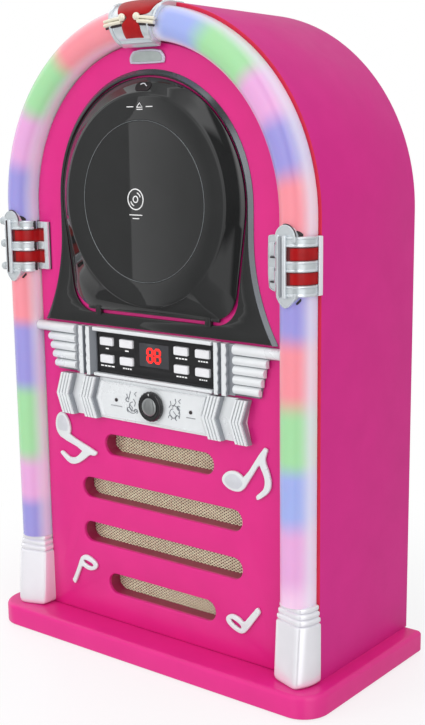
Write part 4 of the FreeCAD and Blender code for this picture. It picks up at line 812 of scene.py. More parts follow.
sh = Shape()
SADDLE = [(0.1, 0.0), (1.9, 0.0), (2.2, 0.03), (2.2, 0.97), (1.9, 1.0), (0.1, 1.0)]
LIP = [(0.1, 0.0), (2.6, 0.0), (3.4, 0.25), (3.5, 0.6), (2.9, 1.0), (0.1, 1.0)]
sh.add(crown_band(-19.0, 17.0, -86, 90, SADDLE, back=[-46.5, -40.0, -35.0]), 0)
sh.add(crown_band(16.6, 21.0, 14, 90, SADDLE, back=[-46.5, -40.0]), 0)
sh.add(crown_band(-20.4, -17.6, -86, 90, LIP, back=[-46.5, -38.0]), 0)
sh.add(crown_band(14.8, 17.2, -86, 12, LIP), 0)
sh.add(crown_band(19.4, 21.8, 10, 90, LIP, back=[-46.5, -38.0]), 0)
# the narrow band between the lips and the strip along the underside are darker: painted shade
sh.add(crown_band(18.4, 19.4, 12, 90, [(1.0, 0.0), (2.5, 0.1), (2.5, 0.9), (1.0, 1.0)], back=[-46.5, -38.0]), 1)
sh.add(crown_band(-18.5, 16.6, -84, -58, [(2.0, 0.0), (3.6, 0.03), (3.6, 0.97), (2.0, 1.0)]), 0)
sh.add(crown_band(-17.0, 15.6, -89, -84, [(1.0, 0.0), (3.8, 0.05), (3.8, 0.95), (1.0, 1.0)]), 1)
o = sh.build("crown_saddle", [CLASP, SILVER_SHADED], smooth=40)
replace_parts(o, "crown_clip")
sh = Shape()
rows = [(-50, 9.2, 9.2), (-47, 9.6, 9.6), (-34, 9.2, 9.2), (-16, 8.8, 8.8), (-7, 8.2, 8.2), (-1, 6.4, 6.4), (5, 3.6, 3.6), (11, 3.2, 3.4), (15, 5.2, 6.5), (19, 10.4, 13.6), (24, 12.4, 16.2), (34, 13.2, 17.2), (48, 14.2, 17.8), (66, 15.0, 18.0), (80, 15.4, 18.2), (90, 15.4, 18.2)]
sh.add(crown_patch(rows, 3.2), 0)
o = sh.build("crown_red", [RED], smooth=50)
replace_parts(o, "crown_insert")
sh = Shape()
for q in (-1, 1):
    p0 = Vector(crown(3.8, 10, q * 6.6))
    rings = []
    for i in range(9):
        t = math.pi * i / 8
        rings.append([(p0.x + q * 0.0 + 3.0 * math.cos(t) * -q, p0.y + 1.9 * math.sin(t) * math.cos(w), p0.z + 2.7 * math.sin(t) * math.sin(w)) for w in [2 * math.pi * j / 14 for j in range(14)]])
    sh.add(loft(rings), 0)
    far = 23.5 if q < 0 else 22.5
    for dz, r in ((9, 1.15), (-1, 1.3)):
        pts = [crown(3.3, dz, q * (7.5 + (far - 7.5) * i / 6)) for i in range(7)]
        sh.add(tube_along(pts, r, 10), 0)
    # dark rod under each scroll bar: painted shadow
    pts = [crown(2.6, -9, q * (8.5 + (far - 9.0) * i / 6)) for i in range(7)]
    sh.add(tube_along(pts, 0.8, 8), 1)
o = sh.build("crown_scrolls", [CREAM, SHADOW_LINE], smooth=50)
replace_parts(o, "crown_clip")

# --------------------------------------------------------------- badge plate
bo = [(-16.3, 442.4), (-15.0, 441.0), (15.0, 441.0), (16.3, 442.4), (16.3, 446.4), (11.8, 450.9), (-11.8, 450.9), (-16.3, 446.4)]
o = flat_curve("badge_frame", [smooth_loop(bo, 1)], -50.8, -49.3, [BADGE_RIM], bevel=0.5)
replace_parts(o, "badge_plate")
bi = [(x * 0.86, 445.95 + (z - 445.95) * 0.72) for x, z in bo]
o = flat_curve("badge_face", [smooth_loop(bi, 2)], -51.1, -50.4, [BADGE], bevel=0.2)
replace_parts(o, "badge_plate")

# --------------------------------------------------------------- music notes
NOTE_A = [(-98.6, 180.3), (-94.6, 179.4), (-91.9, 176.7), (-89.8, 172.9), (-88.8, 168.6), (-89.2, 165.1), (-90.3, 162.7), (-61.4, 153.5), (-60.8, 152.2), (-62.5, 149.9), (-65.7, 149.6), (-68.5, 149.8), (-74.3, 145.3), (-80.1, 141.6), (-85.8, 139.5), (-90.1, 139.5), (-94.3, 141.4), (-101.2, 146.6), (-100.1, 148.3), (-98.2, 148.8), (-94.0, 146.3), (-89.3, 144.4), (-83.6, 145.7), (-79.7, 148.6), (-75.8, 152.6), (-99.1, 159.1), (-103.2, 162.7), (-104.9, 167.3), (-104.9, 171.5), (-103.9, 175.4), (-101.8, 178.4)]
NOTE_B = [(82.9, 156.4), (79.4, 159.0), (75.6, 160.4), (71.7, 160.4), (67.4, 158.9), (64.2, 156.1), (62.8, 153.3), (63.1, 150.8), (65.3, 148.3), (68.8, 146.4), (73.1, 145.5), (77.0, 145.6), (80.1, 146.6), (83.2, 149.2), (85.5, 152.8), (91.0, 160.9), (96.1, 168.7), (97.8, 165.5), (99.7, 162.1), (100.8, 158.5), (100.9, 155.4), (100.0, 151.8), (97.3, 148.9), (93.5, 145.7), (93.3, 144.4), (94.2, 142.3), (98.4, 144.7), (103.0, 148.3), (105.6, 151.9), (106.5, 155.8), (106.0, 160.0), (104.5, 164.8), (101.9, 169.9), (101.4, 173.2), (102.4, 176.8), (103.7, 180.1), (102.4, 181.1), (99.8, 181.3)]
NOTE_C = [(-90.2, 39.6), (-93.0, 42.5), (-90.8, 45.5), (-86.4, 54.6), (-83.0, 62.8), (-80.8, 65.1), (-77.8, 66.5), (-74.8, 66.6), (-72.7, 66.1), (-69.0, 64.7), (-65.8, 62.7), (-64.2, 60.4), (-64.9, 58.0), (-67.0, 56.0), (-70.6, 54.7), (-74.2, 54.4), (-77.7, 55.2), (-81.2, 56.4), (-83.2, 52.9), (-85.9, 47.1), (-88.9, 40.9)]
NOTE_C_EYE = [(-79.8, 61.5), (-78.0, 62.3), (-73.2, 61.8), (-69.5, 60.6), (-68.6, 59.4), (-69.9, 58.0), (-72.2, 57.9), (-75.8, 58.5), (-78.7, 59.7)]
NOTE_D = [(92.8, 62.2), (94.5, 62.6), (96.3, 60.1), (96.1, 58.4), (91.6, 52.4), (86.1, 44.9), (82.7, 40.8), (81.0, 39.9), (78.7, 39.2), (75.9, 39.6), (72.0, 40.9), (68.3, 42.9), (65.8, 45.1), (65.0, 47.3), (65.6, 49.3), (67.6, 51.2), (70.5, 52.4), (73.8, 52.3), (77.8, 51.1), (81.6, 48.1), (86.1, 53.9), (90.0, 58.5)]
NOTE_D_EYE = [(69.6, 48.4), (71.0, 48.7), (74.9, 47.6), (78.3, 46.0), (79.5, 44.2), (78.5, 42.8), (76.0, 43.4), (72.1, 45.0), (69.8, 46.8)]
for k, (outline, eye) in enumerate(((NOTE_A, None), (NOTE_B, None), (NOTE_C, NOTE_C_EYE), (NOTE_D, NOTE_D_EYE))):
    loops = [smooth_loop(outline, 1)] + ([smooth_loop(eye, 1)] if eye else [])
    o = flat_curve("music_note_%d" % (k + 1), loops, -51.6, -49.3, [SILVER], bevel=0.75)
    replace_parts(o, "music_notes")
    if k < 2:
        # the round head carries a flat grey face inside its bright rim
        head = [p for p in outline if (p[0] < -88 and p[1] > 160)] if k == 0 else [p for p in outline if p[0] < 86]
        mx_, mz_ = sum(p[0] for p in head) / len(head), sum(p[1] for p in head) / len(head)
        inner = [(mx_ + (x - mx_) * 0.72, mz_ + (z - mz_) * 0.72) for x, z in head]
        o = flat_curve("music_note_face_%d" % (k + 1), [smooth_loop(inner, 2)], -51.75, -51.0, [NOTE_FACE], bevel=0.2)
        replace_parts(o, "music_notes")

# ------------------------------------------------------------ door surround
def bell(out, low, n=40):
    """Bell outline grown by out."""
    r = 91.5 + out
    pts = arc(0, DZ, r, 0, 180, n)
    R = 136.7 - out
    c = 91.5 + 136.7
    fl = []
    k = 12
    zb = low
    for i in range(k + 1):
        z = 325.0 + (zb - 325.0) * i / k
        x = c - math.sqrt(max(0.0, R * R - (325.0 - z) ** 2))
        fl.append((x, z))
    left = [(-x, z) for x, z in fl]
    right = list(reversed(fl))
    return right + pts + left


def flap_outline(grow, low, n=48):
    cr = 21.0
    cx, cz = 57.0 + grow, low + cr
    ex, ez = cx + cr * math.cos(math.radians(-12.0)), cz + cr * math.sin(math.radians(-12.0))
    r = 86.0 + grow
    a0 = math.degrees(math.asin((330.0 - DZ) / r))
    pts = arc(cx, cz, cr, -90, -12, 10)
    pts += arc(0, DZ, r, a0, 180 - a0, n)
    pts += arc(-cx, cz, cr, 192, 270, 10)
    return pts


surr = flat_curve("bell_surround", [bell(-3.0, 253.4), flap_outline(1.2, 262.6)], -51.6, -49.3, [BLACK], bevel=0.5)
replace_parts(surr, "door_surround")
outer, inner = bell(0.0, 253.2), bell(-2.7, 253.2)
n = len(outer)
rings = [[(x, -49.3, z) for x, z in outer], [(x, -49.7, z) for x, z in outer], [(x, -52.2, z) for x, z in inner], [(x, -51.4, z) for x, z in bell(-3.9, 253.2)], [(x, -49.3, z) for x, z in bell(-3.9, 253.2)]]
v, f = loft(rings, False, False, closed=False)
o = mesh("bell_bevel", v, f, BEVEL, smooth=30)
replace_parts(o, "door_surround")
sh = Shape()
for q in (-1, 1):
    x0, x1 = sorted((q * 50.4, q * 55.4))
    sh.add(pillow(x0, x1, 261.2, 268.3, -53.0, -49.4, 1.0, 0.6), 0)
o = sh.build("hinge_lugs", [BLACK])
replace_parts(o, "door_surround")

# ----------------------------------------------------------------- the door
def match_circle(outline, r):
    """Circle points in step with an outline, by direction from the centre."""
    out = []
    for x, z in outline:
        a = math.atan2(z - DZ, x)
        out.append((r * math.cos(a), DZ + r * math.sin(a)))
    return out


fo = flap_outline(0.0, 266.5, 96)
rings = []
mid = match_circle(fo, 75.0)


def blend_ring(t, y):
    return [(a[0] * (1 - t) + b[0] * t, y, a[1] * (1 - t) + b[1] * t) for a, b in zip(mid, fo)]


back = match_circle(fo, 72.0)
rings.append([(x, -56.2, z) for x, z in match_circle(fo, 0.5)])
rings.append([(x, -56.2, z) for x, z in back])
rings.append([(x, -50.3, z) for x, z in back])
rings.append([(a * 0.995, -50.3, DZ + (b - DZ) * 0.995) for a, b in fo])
rings.append(blend_ring(1.0, -50.9))
rings.append(blend_ring(0.995, -51.7))
rings.append(blend_ring(0.96, -52.3))
rings.append(blend_ring(0.55, -54.9))
rings.append(blend_ring(0.12, -57.7))
rings.append(blend_ring(0.03, -58.5))
rings.append([(x, -58.75, z) for x, z in match_circle(fo, 74.2)])
rings.append([(x, -58.75, z) for x, z in match_circle(fo, 0.5)])
v, f = loft(rings, True, True)
door = mesh("disc_door_flap", v, f, BLACK, "disc_door", smooth=28)
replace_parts(door, "cd_door")
face = Shape()
face.add(lathe_y(0, DZ, [(0.2, -59.0), (56.1, -59.0), (56.3, -58.9), (56.6, -58.75), (57.1, -58.9), (57.3, -59.05), (72.6, -59.15), (73.8, -59.0), (74.6, -58.6), (74.8, -58.3), (0.2, -58.3)], 128), 0)
o = face.build("door_disc_face", [BLACK], "disc_door", smooth=25)
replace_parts(o, "door_roundel")
sh = Shape()
sh.add(tube_along([(56.7 * math.cos(2 * math.pi * i / 96), -59.02, DZ + 56.7 * math.sin(2 * math.pi * i / 96)) for i in range(96)], 0.28, 6, True), 0)
o = sh.build("door_ring_line", [RING], "disc_door")
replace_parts(o, "door_roundel")
# hinge barrel in three lengths, hook and finger notch
sh = Shape()
for x0, x1 in ((-63, -55.9), (-49.9, 49.9), (55.9, 63)):
    sh.add(bar_x(x0, x1, -51.2, 266.5, 1.5, 16), 0)
sh.add(pillow(-3, 3, 423.0, 425.2, -50.4, -43.9, 0.5, 0.3), 0)
sh.add(pillow(-3, 3, 423.0, 427.0, -45.8, -43.9, 0.5, 0.3), 0)
o = sh.build("door_hinge_barrel", [BLACK], "disc_door")
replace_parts(o, "cd_door")
sh = Shape()
# finger notch: a shallow dish coloured near-black as painted shade
ol = stadium(0.8, 425.6, 6.6, 2.9)
cxm, czm = 0.8, 425.6
rings = []


def door_y(z):
    """The door's sloping edge above its round face."""
    return float(np.interp((z - 421.0) / 11.0, (0.0, 0.12, 0.55, 0.96, 1.0), (-58.6, -57.7, -54.9, -52.3, -50.9)))


for k, off in ((1.08, 0.5), (1.08, -0.22), (1.0, -0.34), (0.90, -0.2), (0.84, -0.12), (0.3, -0.10)):
    rings.append([(cxm + (x - cxm) * k, door_y(czm + (z - czm) * k) + off, czm + (z - czm) * k) for x, z in ol])
sh.add(loft(rings), 0)
# bright rod along the notch's top edge: painted highlight
sh.add(tube_along([(x, door_y(z) - 0.25, z) for x, z in ((-2.2, 427.0), (-0.4, 427.7), (1.6, 427.5), (3.0, 426.4), (4.2, 425.7))], 0.34, 8), 1)
o = sh.build("door_push_tab", [NOTCH_SHADE, PLATED], "disc_door")
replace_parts(o, "cd_door")


def printed(name, paths, y, mat, r, body="cabinet", node=None):
    """Thin printed marks: rods barely proud of the face."""
    sh = Shape()
    for p in paths:
        sh.add(tube_along([(x, y, z) for x, z in p], r, 6), 0)
    o = sh.build(name, [mat], body)
    if node:
        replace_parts(o, node)
    return o


# generic marks: a disc symbol at the middle of the door, an eject symbol at its top
sym = [arc(-6, DZ + 2, 7.2, 0, 360, 40), arc(-6, DZ + 2, 2.2, 0, 360, 20), arc(-6, DZ + 2, 4.8, 20, 70, 8), arc(-6, DZ + 2, 4.8, 200, 250, 8)]
printed("door_disc_symbol", sym, -59.15, WHITE_PRINT, 0.42, "disc_door", "door_roundel")
printed("door_symbol_bar", [[(-12, DZ - 9), (0, DZ - 9)], [(-9, DZ - 11.5), (-3, DZ - 11.5)]], -59.15, WHITE_PRINT, 0.35, "disc_door", "door_roundel")
printed("door_eject_symbol", [[(-2.6, 411.4), (0, 414.4), (2.6, 411.4), (-2.6, 411.4)], [(-2.6, 410.0), (2.6, 410.0)], [(-12, 411.8), (-6, 411.8)], [(6, 411.8), (12, 411.8)]], -59.25, WHITE_PRINT, 0.33, "disc_door", "door_roundel")

# ------------------------------------------------------------- control trim
sh = Shape()
# the backing is in the mid grey: painted shade in the gaps between the ribs
back_pts = [(117.0, 251.6), (-117.0, 251.6), (-117.0, 244.2), (-104.6, 243.4), (-97.6, 215.6), (97.6, 215.6), (104.6, 243.4), (117.0, 244.2)]
o = flat_curve("trim_backing", [back_pts, [(-57.2, 217.1), (57.2, 217.1), (57.2, 248.7), (-57.2, 248.7)]], -52.0, -49.3, [SHADE_AND_PRINT_GREY], bevel=0.3)
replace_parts(o, "control_trim")


def flute(x0, x1, z, r, depth=1.0, n=12):
    """Half-round rib along X standing on the backing; flat end at its outer end."""
    rings = []
    for x in (x0, x0 + 0.01, x1 - 0.6, x1):
        k = 1.0 if x < x1 else 0.9
        rings.append([(x, -51.0 - (r * depth + 1.2) * k * math.sin(math.pi * j / n) ** 0.8, z + r * k * math.cos(math.pi * j / n)) for j in range(n + 1)])
    return loft(rings)


for q in (-1, 1):
    for i, (z, r, x1) in enumerate(((247.9, 3.8, 117.4), (240.4, 3.3, 105.2), (233.6, 3.3, 103.0), (226.8, 3.3, 101.0), (220.0, 3.3, 98.9))):
        a, b = (76.6, x1)
        v, f = flute(a, b, z, r)
        sh.add(([(q * x, y, zz) for x, y, zz in v], f), 0)
    # raised posts, each with scalloped outer side
    for base, x0, x1, yf in ((57.3, 60.2, 64.2, -56.2), (66.8, 67.2, 71.6, -56.2)):
        zz = [215.0 + (251.8 - 215.0) * i / 40 for i in range(41)]
        rings = []
        for z in zz:
            sc = 0.75 * abs(math.sin(math.pi * (z - 216.6) / 6.8))
            xo = x1 - 0.7 + sc
            rings.append([(q * base, -51.0, z), (q * x0, yf + 0.5, z), (q * (x0 + 0.4), yf, z), (q * (xo - 0.4), yf, z), (q * xo, yf + 0.5, z), (q * xo, -51.0, z)])
        v, f = loft(rings)
        sh.add((v, f), 0)
        # the posts' side faces are darker: painted shade, mid grey on the inner slopes and shaded silver on the outer
        # sides
        for i in range(len(sh.m) - len(f), len(sh.m)):
            k = (i - (len(sh.m) - len(f))) % 6
            if i - (len(sh.m) - len(f)) < 240 and k in (0, 4):
                sh.m[i] = 2 if k == 0 else 1
    # the low strips beside the posts are darker: painted shade
    a, b = sorted((q * 63.6, q * 67.0))
    sh.add(pillow(a, b, 215.2, 251.6, -52.8, -51.0, 0.4, 0.2), 1)
    a, b = sorted((q * 71.2, q * 76.8))
    sh.add(pillow(a, b, 215.2, 251.6, -52.8, -51.0, 0.4, 0.2), 1)
sh.add(pillow(-57.6, 57.6, 248.9, 251.9, -55.4, -49.4, 0.5, 0.7), 0)
sh.add(pillow(-57.6, 57.6, 214.6, 217.1, -55.0, -49.4, 0.5, 0.7), 0)
o = sh.build("control_ribs", [SILVER, SILVER_SHADED, SHADE_AND_PRINT_GREY], smooth=42)
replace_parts(o, "control_trim")

# fascia, keys, labels, display
KEYS = [("play", -46.6, 241.2), ("stop", -46.6, 227.9), ("repeat", -26.6, 241.2), ("random", -26.6, 227.9),
        ("skip_back", 26.6, 241.2), ("program", 26.6, 227.9), ("skip_forward", 46.6, 241.2), ("source", 46.6, 227.9)]
holes = [rbox_ring(x - 6.95, x + 6.95, z - 3.45, z + 3.45, 1.0) for _, x, z in KEYS]
o = flat_curve("fascia_panel", [[(-57, 217.3), (57, 217.3), (57, 248.5), (-57, 248.5)], [(-14.4, 226), (14.4, 226), (14.4, 243.6), (-14.4, 243.6)]] + holes, -50.6, -49.3, [BLACK_F], bevel=0.25)
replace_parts(o, "control_fascia")
LABEL_W = {"play": 1.6, "repeat": 1.8, "stop": 7.0, "random": 4.4, "skip_back": 5.4, "skip_forward": 4.4, "program": 5.0, "source": 3.6}
sh = Shape()
for name, x, z in KEYS:
    w = LABEL_W[name]
    sh.add(pillow(x - w, x + w, z - 6.0, z - 5.0, -50.68, -50.4, 0.2, 0.05), 0)
    if w > 3:
        for k in range(3):
            xx = x - w + 2 * w * (k + 1) / 4.0
            sh.add(pillow(xx - 0.35, xx + 0.35, z - 6.1, z - 4.9, -50.72, -50.4, 0.1, 0.03), 1)
o = sh.build("key_label_bars", [WHITE_PRINT, BLACK_F])
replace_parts(o, "control_fascia")
for name, x, z in KEYS:
    sh = Shape()
    rings = []
    for ins, y, r in ((0.0, -48.0, 0.9), (0.0, -51.4, 0.9), (0.2, -51.8, 0.9), (0.7, -52.0, 0.9), (2.2, -51.88, 0.8)):
        rings.append([(px, y, pz) for px, pz in rbox_ring(x - 6.6 + ins, x + 6.6 - ins, z - 3.1 + ins * 0.8, z + 3.1 - ins * 0.8, r)])
    sh.add(loft(rings), 0)
    sh.add(pillow(x - 7.8, x + 7.8, z - 4.1, z + 4.1, -48.5, -47.5, 0.5, 0.2), 1)
    sh.add(pillow(x - 1.5, x + 1.5, z - 1.5, z + 1.5, -47.7, -45.1, 0.3, 0.1), 1)
    o = sh.build(name + "_keycap", [KEY, DARK], name + "_key")
    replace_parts(o, name + "_button")
sh = Shape()
sh.add(pillow(-14.3, 14.3, 226.1, 243.5, -50.5, -49.4, 0.5, 0.2), 0)
o = sh.build("display_pane", [GLASS_D])
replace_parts(o, "display_window")
sh = Shape()


def seg(x0, z0, x1, z1, w=0.75):
    d = Vector((x1 - x0, 0, z1 - z0)).normalized()
    n_ = Vector((-d.z, 0, d.x))
    a, b = Vector((x0, 0, z0)), Vector((x1, 0, z1))
    pts = [a, a + d * w + n_ * w, b - d * w + n_ * w, b, b - d * w - n_ * w, a + d * w - n_ * w]
    return loft([[(p.x, -50.45, p.z) for p in pts], [(p.x, -50.75, p.z) for p in pts]])


for cx in (-3.6, 3.6):
    hw_, hz = 2.5, 4.9
    zc = 234.8
    for (a, b, c, d) in ((-hw_, hz * 1, hw_, hz * 1), (-hw_, 0, hw_, 0), (-hw_, -hz, hw_, -hz)):
        sh.add(seg(cx + a + 0.3, zc + b, cx + c - 0.3, zc + d), 0)
    for xx in (-hw_, hw_):
        sh.add(seg(cx + xx, zc + 0.3, cx + xx, zc + hz - 0.3), 0)
        sh.add(seg(cx + xx, zc - hz + 0.3, cx + xx, zc - 0.3), 0)
o = sh.build("display_digits", [LED], smooth=0)
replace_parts(o, "display_window")

# -------------------------------------------------------------- chevron strip
sh = Shape()
so = [(88.6, 182.2), (85.0, 197.0), (88.6, 213.6), (-90.2, 213.6), (-96.0, 197.0), (-90.2, 182.2)]
o = flat_curve("strip_backing", [so, arc(0, 197.8, 4.3, 0, 345, 23)], -52.0, -49.3, [SILVER], bevel=0.5)
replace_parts(o, "trim_strip")


def chevron(x0, width, yb, yf, z0=182.0, zm=197.2, z1=213.8, tip=5.6, slant=0.0, bevel=0.35):
    """Arrow-shaped ridge pointing left."""
    def outline(ins):
        return [(x0 + ins, z0 + ins), (x0 + width - ins, z0 + ins), (x0 + width - tip - ins, zm), (x0 + width - ins, z1 - ins), (x0 + ins, z1 - ins), (x0 - tip + ins, zm)]
    return loft([[(x, yb, z) for x, z in outline(0)], [(x, yf + bevel, z) for x, z in outline(0)], [(x, yf, z) for x, z in outline(bevel)]])


for x0, wd in ((-90.4, 12.4), (-66.0, 12.6), (55.6, 11.6), (79.8, 10.9)):
    # the wide chevron under the small ridges is darker: painted shade in the grooves between them
    sh.add(chevron(x0, wd, -51.6, -55.9), 1)
    step = wd / 4.0
    for k in range(4):
        sh.add(chevron(x0 + step * k, step * 0.74, -55.6, -57.4, bevel=0.25), 0)
o = sh.build("chevron_ridges", [SILVER, SILVER_SHADED], smooth=25)
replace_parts(o, "trim_strip")
sh = Shape()
frame_pts = [(-50.4, 184.6), (49.6, 184.6), (45.2, 197.4), (49.6, 211.0), (-50.4, 211.0), (-55.0, 197.4)]
cxm, czm = -1.8, 197.8
rings = []
for k, y in ((1.03, -51.9), (1.03, -53.3), (1.01, -53.7), (0.985, -53.5), (0.96, -52.9), (0.2, -52.9)):
    rings.append([(cxm + (x - cxm) * k, y, czm + (z - czm) * (k if k > 0.9 else 0.2)) for x, z in frame_pts])
outer_ring = rings
v, f = loft(rings, True, False)
# leave the middle open for the knob's shaft
last = len(rings) - 1
n = len(frame_pts)
sh.add((v, f), 0)
o = sh.build("strip_panel", [SILVER], smooth=20)
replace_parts(o, "trim_strip")
marks = []
for q in (-1, 1):
    c = q * 21.5
    marks += [arc(c - q * 1.0, 195.4, 5.6, 200 if q < 0 else -30, 330 if q < 0 else 110, 12), arc(c - q * 1.6, 195.0, 3.4, 90, 330, 12),
              [(c - 2.4, 199.4), (c + 1.2 * q, 203.4), (c + 0.4 * q, 206.2)], [(c + 2.6, 200.8), (c + 4.4, 198.2), (c + 3.4, 195.4)], arc(c + q * 2.2, 192.0, 2.0, 0, 250, 10),
              arc(c + q * 3.6, 199.6, 1.6, 40, 320, 8), [(c - 5.6, 199.0), (c - 3.6, 201.6), (c - 4.2, 204.0)], arc(c - q * 4.6, 191.6, 1.7, -60, 200, 8),
              [(c + 5.2, 203.2), (c + 3.6, 204.8), (c + 5.6, 206.4)], [(c - 1.5, 196.5), (c + 1.2, 194.0), (c + 0.2, 191.0)]]
printed("strip_ornaments", marks, -53.0, SHADE_AND_PRINT_GREY, 0.3, node="trim_strip")
printed("strip_lamp_bars", [[(-42.0, 193.4), (-30.8, 193.4)], [(32.2, 193.8), (40.6, 193.8)]], -53.0, GREY_LINE, 0.35, node="trim_strip")
sh = Shape()
for x in (-36.4, 36.4):
    sh.add(lathe_y(x, 198.0, [(0.1, -54.0), (0.9, -53.9), (1.35, -53.5), (1.5, -52.6), (1.5, -42.5), (0.1, -42.5)], 20), 0)
o = sh.build("lamp_lenses", [LED_OFF])
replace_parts(o, "indicator_lenses")

# ---------------------------------------------------------------------- knob
sh = Shape()
prof = [(3.0, -37.0), (3.0, -53.4), (10.6, -53.5), (10.95, -53.8), (11.0, -54.6), (10.8, -56.6), (10.3, -57.2), (9.2, -57.4), (8.0, -57.3), (7.6, -57.0), (7.2, -56.6)]
sh.add(lathe_y(0, 197.8, [(0.1, -37.0)] + prof + [(0.1, -56.5)], 72), 0)
sh.add(lathe_y(0, 197.8, [(0.1, -56.3), (6.7, -56.5), (6.9, -57.0), (6.5, -57.9), (5.2, -58.7), (3.2, -59.2), (0.1, -59.4)], 48), 1)
for k in range(24):
    a = 2 * math.pi * k / 24
    c, s_ = math.cos(a), math.sin(a)
    sh.add(tube_along([(10.95 * c, -54.2, 197.8 + 10.95 * s_), (10.85 * c, -56.4, 197.8 + 10.85 * s_)], 0.32, 6), 0)
sh.add(tube_along([(0, -57.35, 197.8 + 8.6), (0, -57.5, 197.8 + 10.0)], 0.35, 6), 2)
o = sh.build("volume_knob_cap", [KNOB, DOME, WHITE_PRINT], "knob", smooth=35)
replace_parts(o, "volume_knob")

# ------------------------------------------------ carried-over inner and back pieces
KEEP = {"base_plate": BASEM, "rubber_feet": RUBBER, "case_screws": STEEL, "back_panel": BACKM, "speaker_drivers": DARK, "speaker_cones": CONE,
        "led_strips": LAMINATE, "door_hinge_pins": STEEL, "door_catch": DARK, "disc_well": DARK, "mech_chassis": STEEL, "spindle_motor": STEEL,
        "spindle_hub": DARK, "laser_sled": DARK, "guide_rods": STEEL, "sled_gear": LAMINATE, "sled_motor": STEEL, "display_module": LED_OFF,
        "control_board": PCB, "volume_pot": STEEL, "main_board": PCB, "mains_transformer": STEEL, "power_inlet": DARK, "power_switch_frame": DARK,
        "power_rocker": BLACK_F, "audio_jacks": DARK}
for name, m in KEEP.items():
    me = N[name].data
    if me.materials:
        for i in range(len(me.materials)):
            me.materials[i] = m
    else:
        me.materials.append(m)

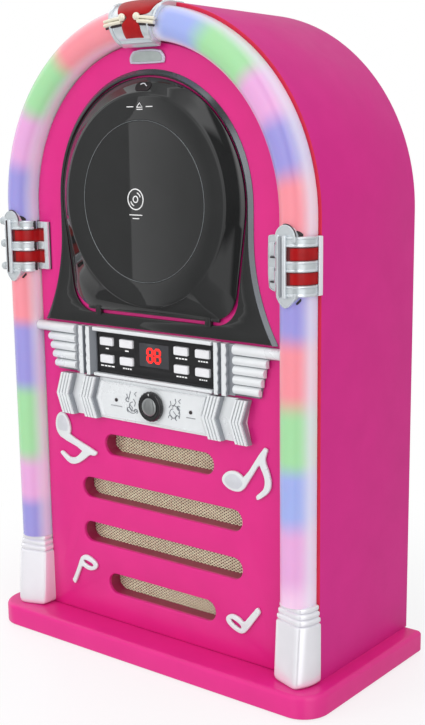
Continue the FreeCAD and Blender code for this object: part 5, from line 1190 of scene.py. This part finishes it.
# --------------------------------------------------------- floor, light, world
def studio():
    me = bpy.data.meshes.new("floor")
    n, R = 96, 6.0
    me.from_pydata([(R * math.cos(2 * math.pi * i / n), R * math.sin(2 * math.pi * i / n), 0.0) for i in range(n)], [], [tuple(range(n))])
    fl = bpy.data.objects.new("floor", me)
    scene.collection.objects.link(fl)
    m = bpy.data.materials.new("pale_floor")
    m.use_nodes = True
    nd, lk = m.node_tree.nodes, m.node_tree.links
    bs = nd["Principled BSDF"]
    bs.inputs["Base Color"].default_value = (0.93, 0.93, 0.94, 1)
    bs.inputs["Roughness"].default_value = 0.38
    tc = nd.new("ShaderNodeTexCoord")
    ln = nd.new("ShaderNodeVectorMath"); ln.operation = "LENGTH"
    lk.new(tc.outputs["Object"], ln.inputs[0])
    mr = nd.new("ShaderNodeMapRange"); mr.interpolation_type = "SMOOTHSTEP"
    mr.inputs["From Min"].default_value = 0.16
    mr.inputs["From Max"].default_value = 0.42
    mr.inputs["To Min"].default_value = 0.72
    lk.new(ln.outputs["Value"], mr.inputs["Value"])
    em = nd.new("ShaderNodeEmission"); em.inputs["Color"].default_value = (1, 1, 1, 1); em.inputs["Strength"].default_value = 1.0
    mixs = nd.new("ShaderNodeMixShader")
    lk.new(mr.outputs["Result"], mixs.inputs[0])
    lk.new(bs.outputs[0], mixs.inputs[1])
    lk.new(em.outputs[0], mixs.inputs[2])
    lk.new(mixs.outputs[0], nd["Material Output"].inputs["Surface"])
    me.materials.append(m)

    fl.visible_glossy = False
    w = bpy.data.worlds.new("studio")
    scene.world = w
    w.use_nodes = True
    wn, wl = w.node_tree.nodes, w.node_tree.links
    bg = wn["Background"]
    bg.inputs["Color"].default_value = (1.0, 1.0, 1.0, 1)
    bg.inputs["Strength"].default_value = 1.0
    # the room as light and reflections see it: panels of light and dark by compass direction
    bg2 = wn.new("ShaderNodeBackground")
    tcw = wn.new("ShaderNodeTexCoord")
    sep = wn.new("ShaderNodeSeparateXYZ")
    wl.new(tcw.outputs["Generated"], sep.inputs[0])
    nx = wn.new("ShaderNodeMath"); nx.operation = "MULTIPLY"; nx.inputs[1].default_value = -1.0
    ny = wn.new("ShaderNodeMath"); ny.operation = "MULTIPLY"; ny.inputs[1].default_value = -1.0
    wl.new(sep.outputs["X"], nx.inputs[0])
    wl.new(sep.outputs["Y"], ny.inputs[0])
    at = wn.new("ShaderNodeMath"); at.operation = "ARCTAN2"
    wl.new(nx.outputs[0], at.inputs[0])
    wl.new(ny.outputs[0], at.inputs[1])
    fr = wn.new("ShaderNodeMapRange")
    fr.inputs["From Min"].default_value = -math.pi
    fr.inputs["From Max"].default_value = math.pi
    wl.new(at.outputs[0], fr.inputs["Value"])
    rp = wn.new("ShaderNodeValToRGB")
    els = rp.color_ramp.elements
    levels = [(-180, 0.42), (-120, 0.40), (-80, 0.5), (-66, 1.5), (-42, 1.5), (-33, 0.10), (-14, 0.08), (-6, 0.85), (8, 0.85), (20, 0.5), (37, 0.34), (40.4, 0.50), (43.4, 1.0), (47, 0.95), (58, 0.7), (64, 0.6), (70, 0.75), (92, 1.0), (112, 0.62), (140, 0.40), (179, 0.42)]
    els[0].position, els[0].color = 0.0, (0.42, 0.42, 0.43, 1)
    els[1].position, els[1].color = 1.0, (0.42, 0.42, 0.43, 1)
    for deg, lv in levels[1:-1]:
        e = els.new((deg + 180.0) / 360.0)
        e.color = (lv, lv, lv * 1.01, 1)
    wl.new(fr.outputs["Result"], rp.inputs["Fac"])
    # a dark panel with a hard upright edge
    ga = wn.new("ShaderNodeMath"); ga.operation = "GREATER_THAN"; ga.inputs[1].default_value = math.radians(43.2)
    gb = wn.new("ShaderNodeMath"); gb.operation = "LESS_THAN"; gb.inputs[1].default_value = math.radians(62.0)
    gc = wn.new("ShaderNodeMath"); gc.operation = "MULTIPLY"
    gd = wn.new("ShaderNodeMath"); gd.operation = "MULTIPLY_ADD"
    gd.inputs[1].default_value = -0.60
    gd.inputs[2].default_value = 1.0
    wl.new(at.outputs[0], ga.inputs[0]); wl.new(at.outputs[0], gb.inputs[0])
    wl.new(ga.outputs[0], gc.inputs[0]); wl.new(gb.outputs[0], gc.inputs[1])
    wl.new(gc.outputs[0], gd.inputs[0])
    pm = wn.new("ShaderNodeMix"); pm.data_type = "RGBA"; pm.blend_type = "MULTIPLY"
    pm.inputs[0].default_value = 1.0
    wl.new(rp.outputs["Color"], pm.inputs[6])
    wl.new(gd.outputs[0], pm.inputs[7])
    hz = wn.new("ShaderNodeMapRange"); hz.interpolation_type = "SMOOTHSTEP"
    hz.inputs["From Min"].default_value = -0.5
    hz.inputs["From Max"].default_value = 0.9
    hz.inputs["To Min"].default_value = 0.75
    hz.inputs["To Max"].default_value = 1.55
    wl.new(sep.outputs["Z"], hz.inputs["Value"])
    mu = wn.new("ShaderNodeMix"); mu.data_type = "RGBA"; mu.blend_type = "MULTIPLY"
    mu.inputs[0].default_value = 1.0
    wl.new(pm.outputs[2], mu.inputs[6])
    wl.new(hz.outputs["Result"], mu.inputs[7])
    wl.new(mu.outputs[2], bg2.inputs["Color"])
    bg2.inputs["Strength"].default_value = 1.0
    lp = wn.new("ShaderNodeLightPath")
    mxw = wn.new("ShaderNodeMixShader")
    wl.new(lp.outputs["Is Camera Ray"], mxw.inputs[0])
    wl.new(bg2.outputs[0], mxw.inputs[1])
    wl.new(bg.outputs[0], mxw.inputs[2])
    wl.new(mxw.outputs[0], wn["World Output"].inputs["Surface"])

    def area(name, loc, target, size, power, size_y=None, colour=(1, 1, 1), shine=False):
        d = bpy.data.lights.new(name, "AREA")
        d.energy = power
        d.shape = "RECTANGLE"
        d.size = size
        d.size_y = size_y or size
        d.color = colour
        ob = bpy.data.objects.new(name, d)
        scene.collection.objects.link(ob)
        ob.location = loc
        ob.rotation_euler = (Vector(target) - Vector(loc)).to_track_quat("-Z", "Y").to_euler()
        ob.visible_glossy = shine
        return ob
    area("key_left", (-1.15, -1.75, 0.75), (0, 0, 0.28), 0.9, 12.5, 1.5)
    area("fill_front", (0.15, -2.3, 1.25), (0, 0, 0.22), 1.6, 8, 1.0)
    area("side_right", (2.0, -0.1, 0.8), (0, 0, 0.25), 1.2, 1.5, 1.2)
    area("top", (0.0, 0.2, 2.0), (0, 0, 0.2), 1.6, 6, 1.6)
    scene.view_settings.view_transform = "Standard"
    scene.view_settings.look = "None"


studio()
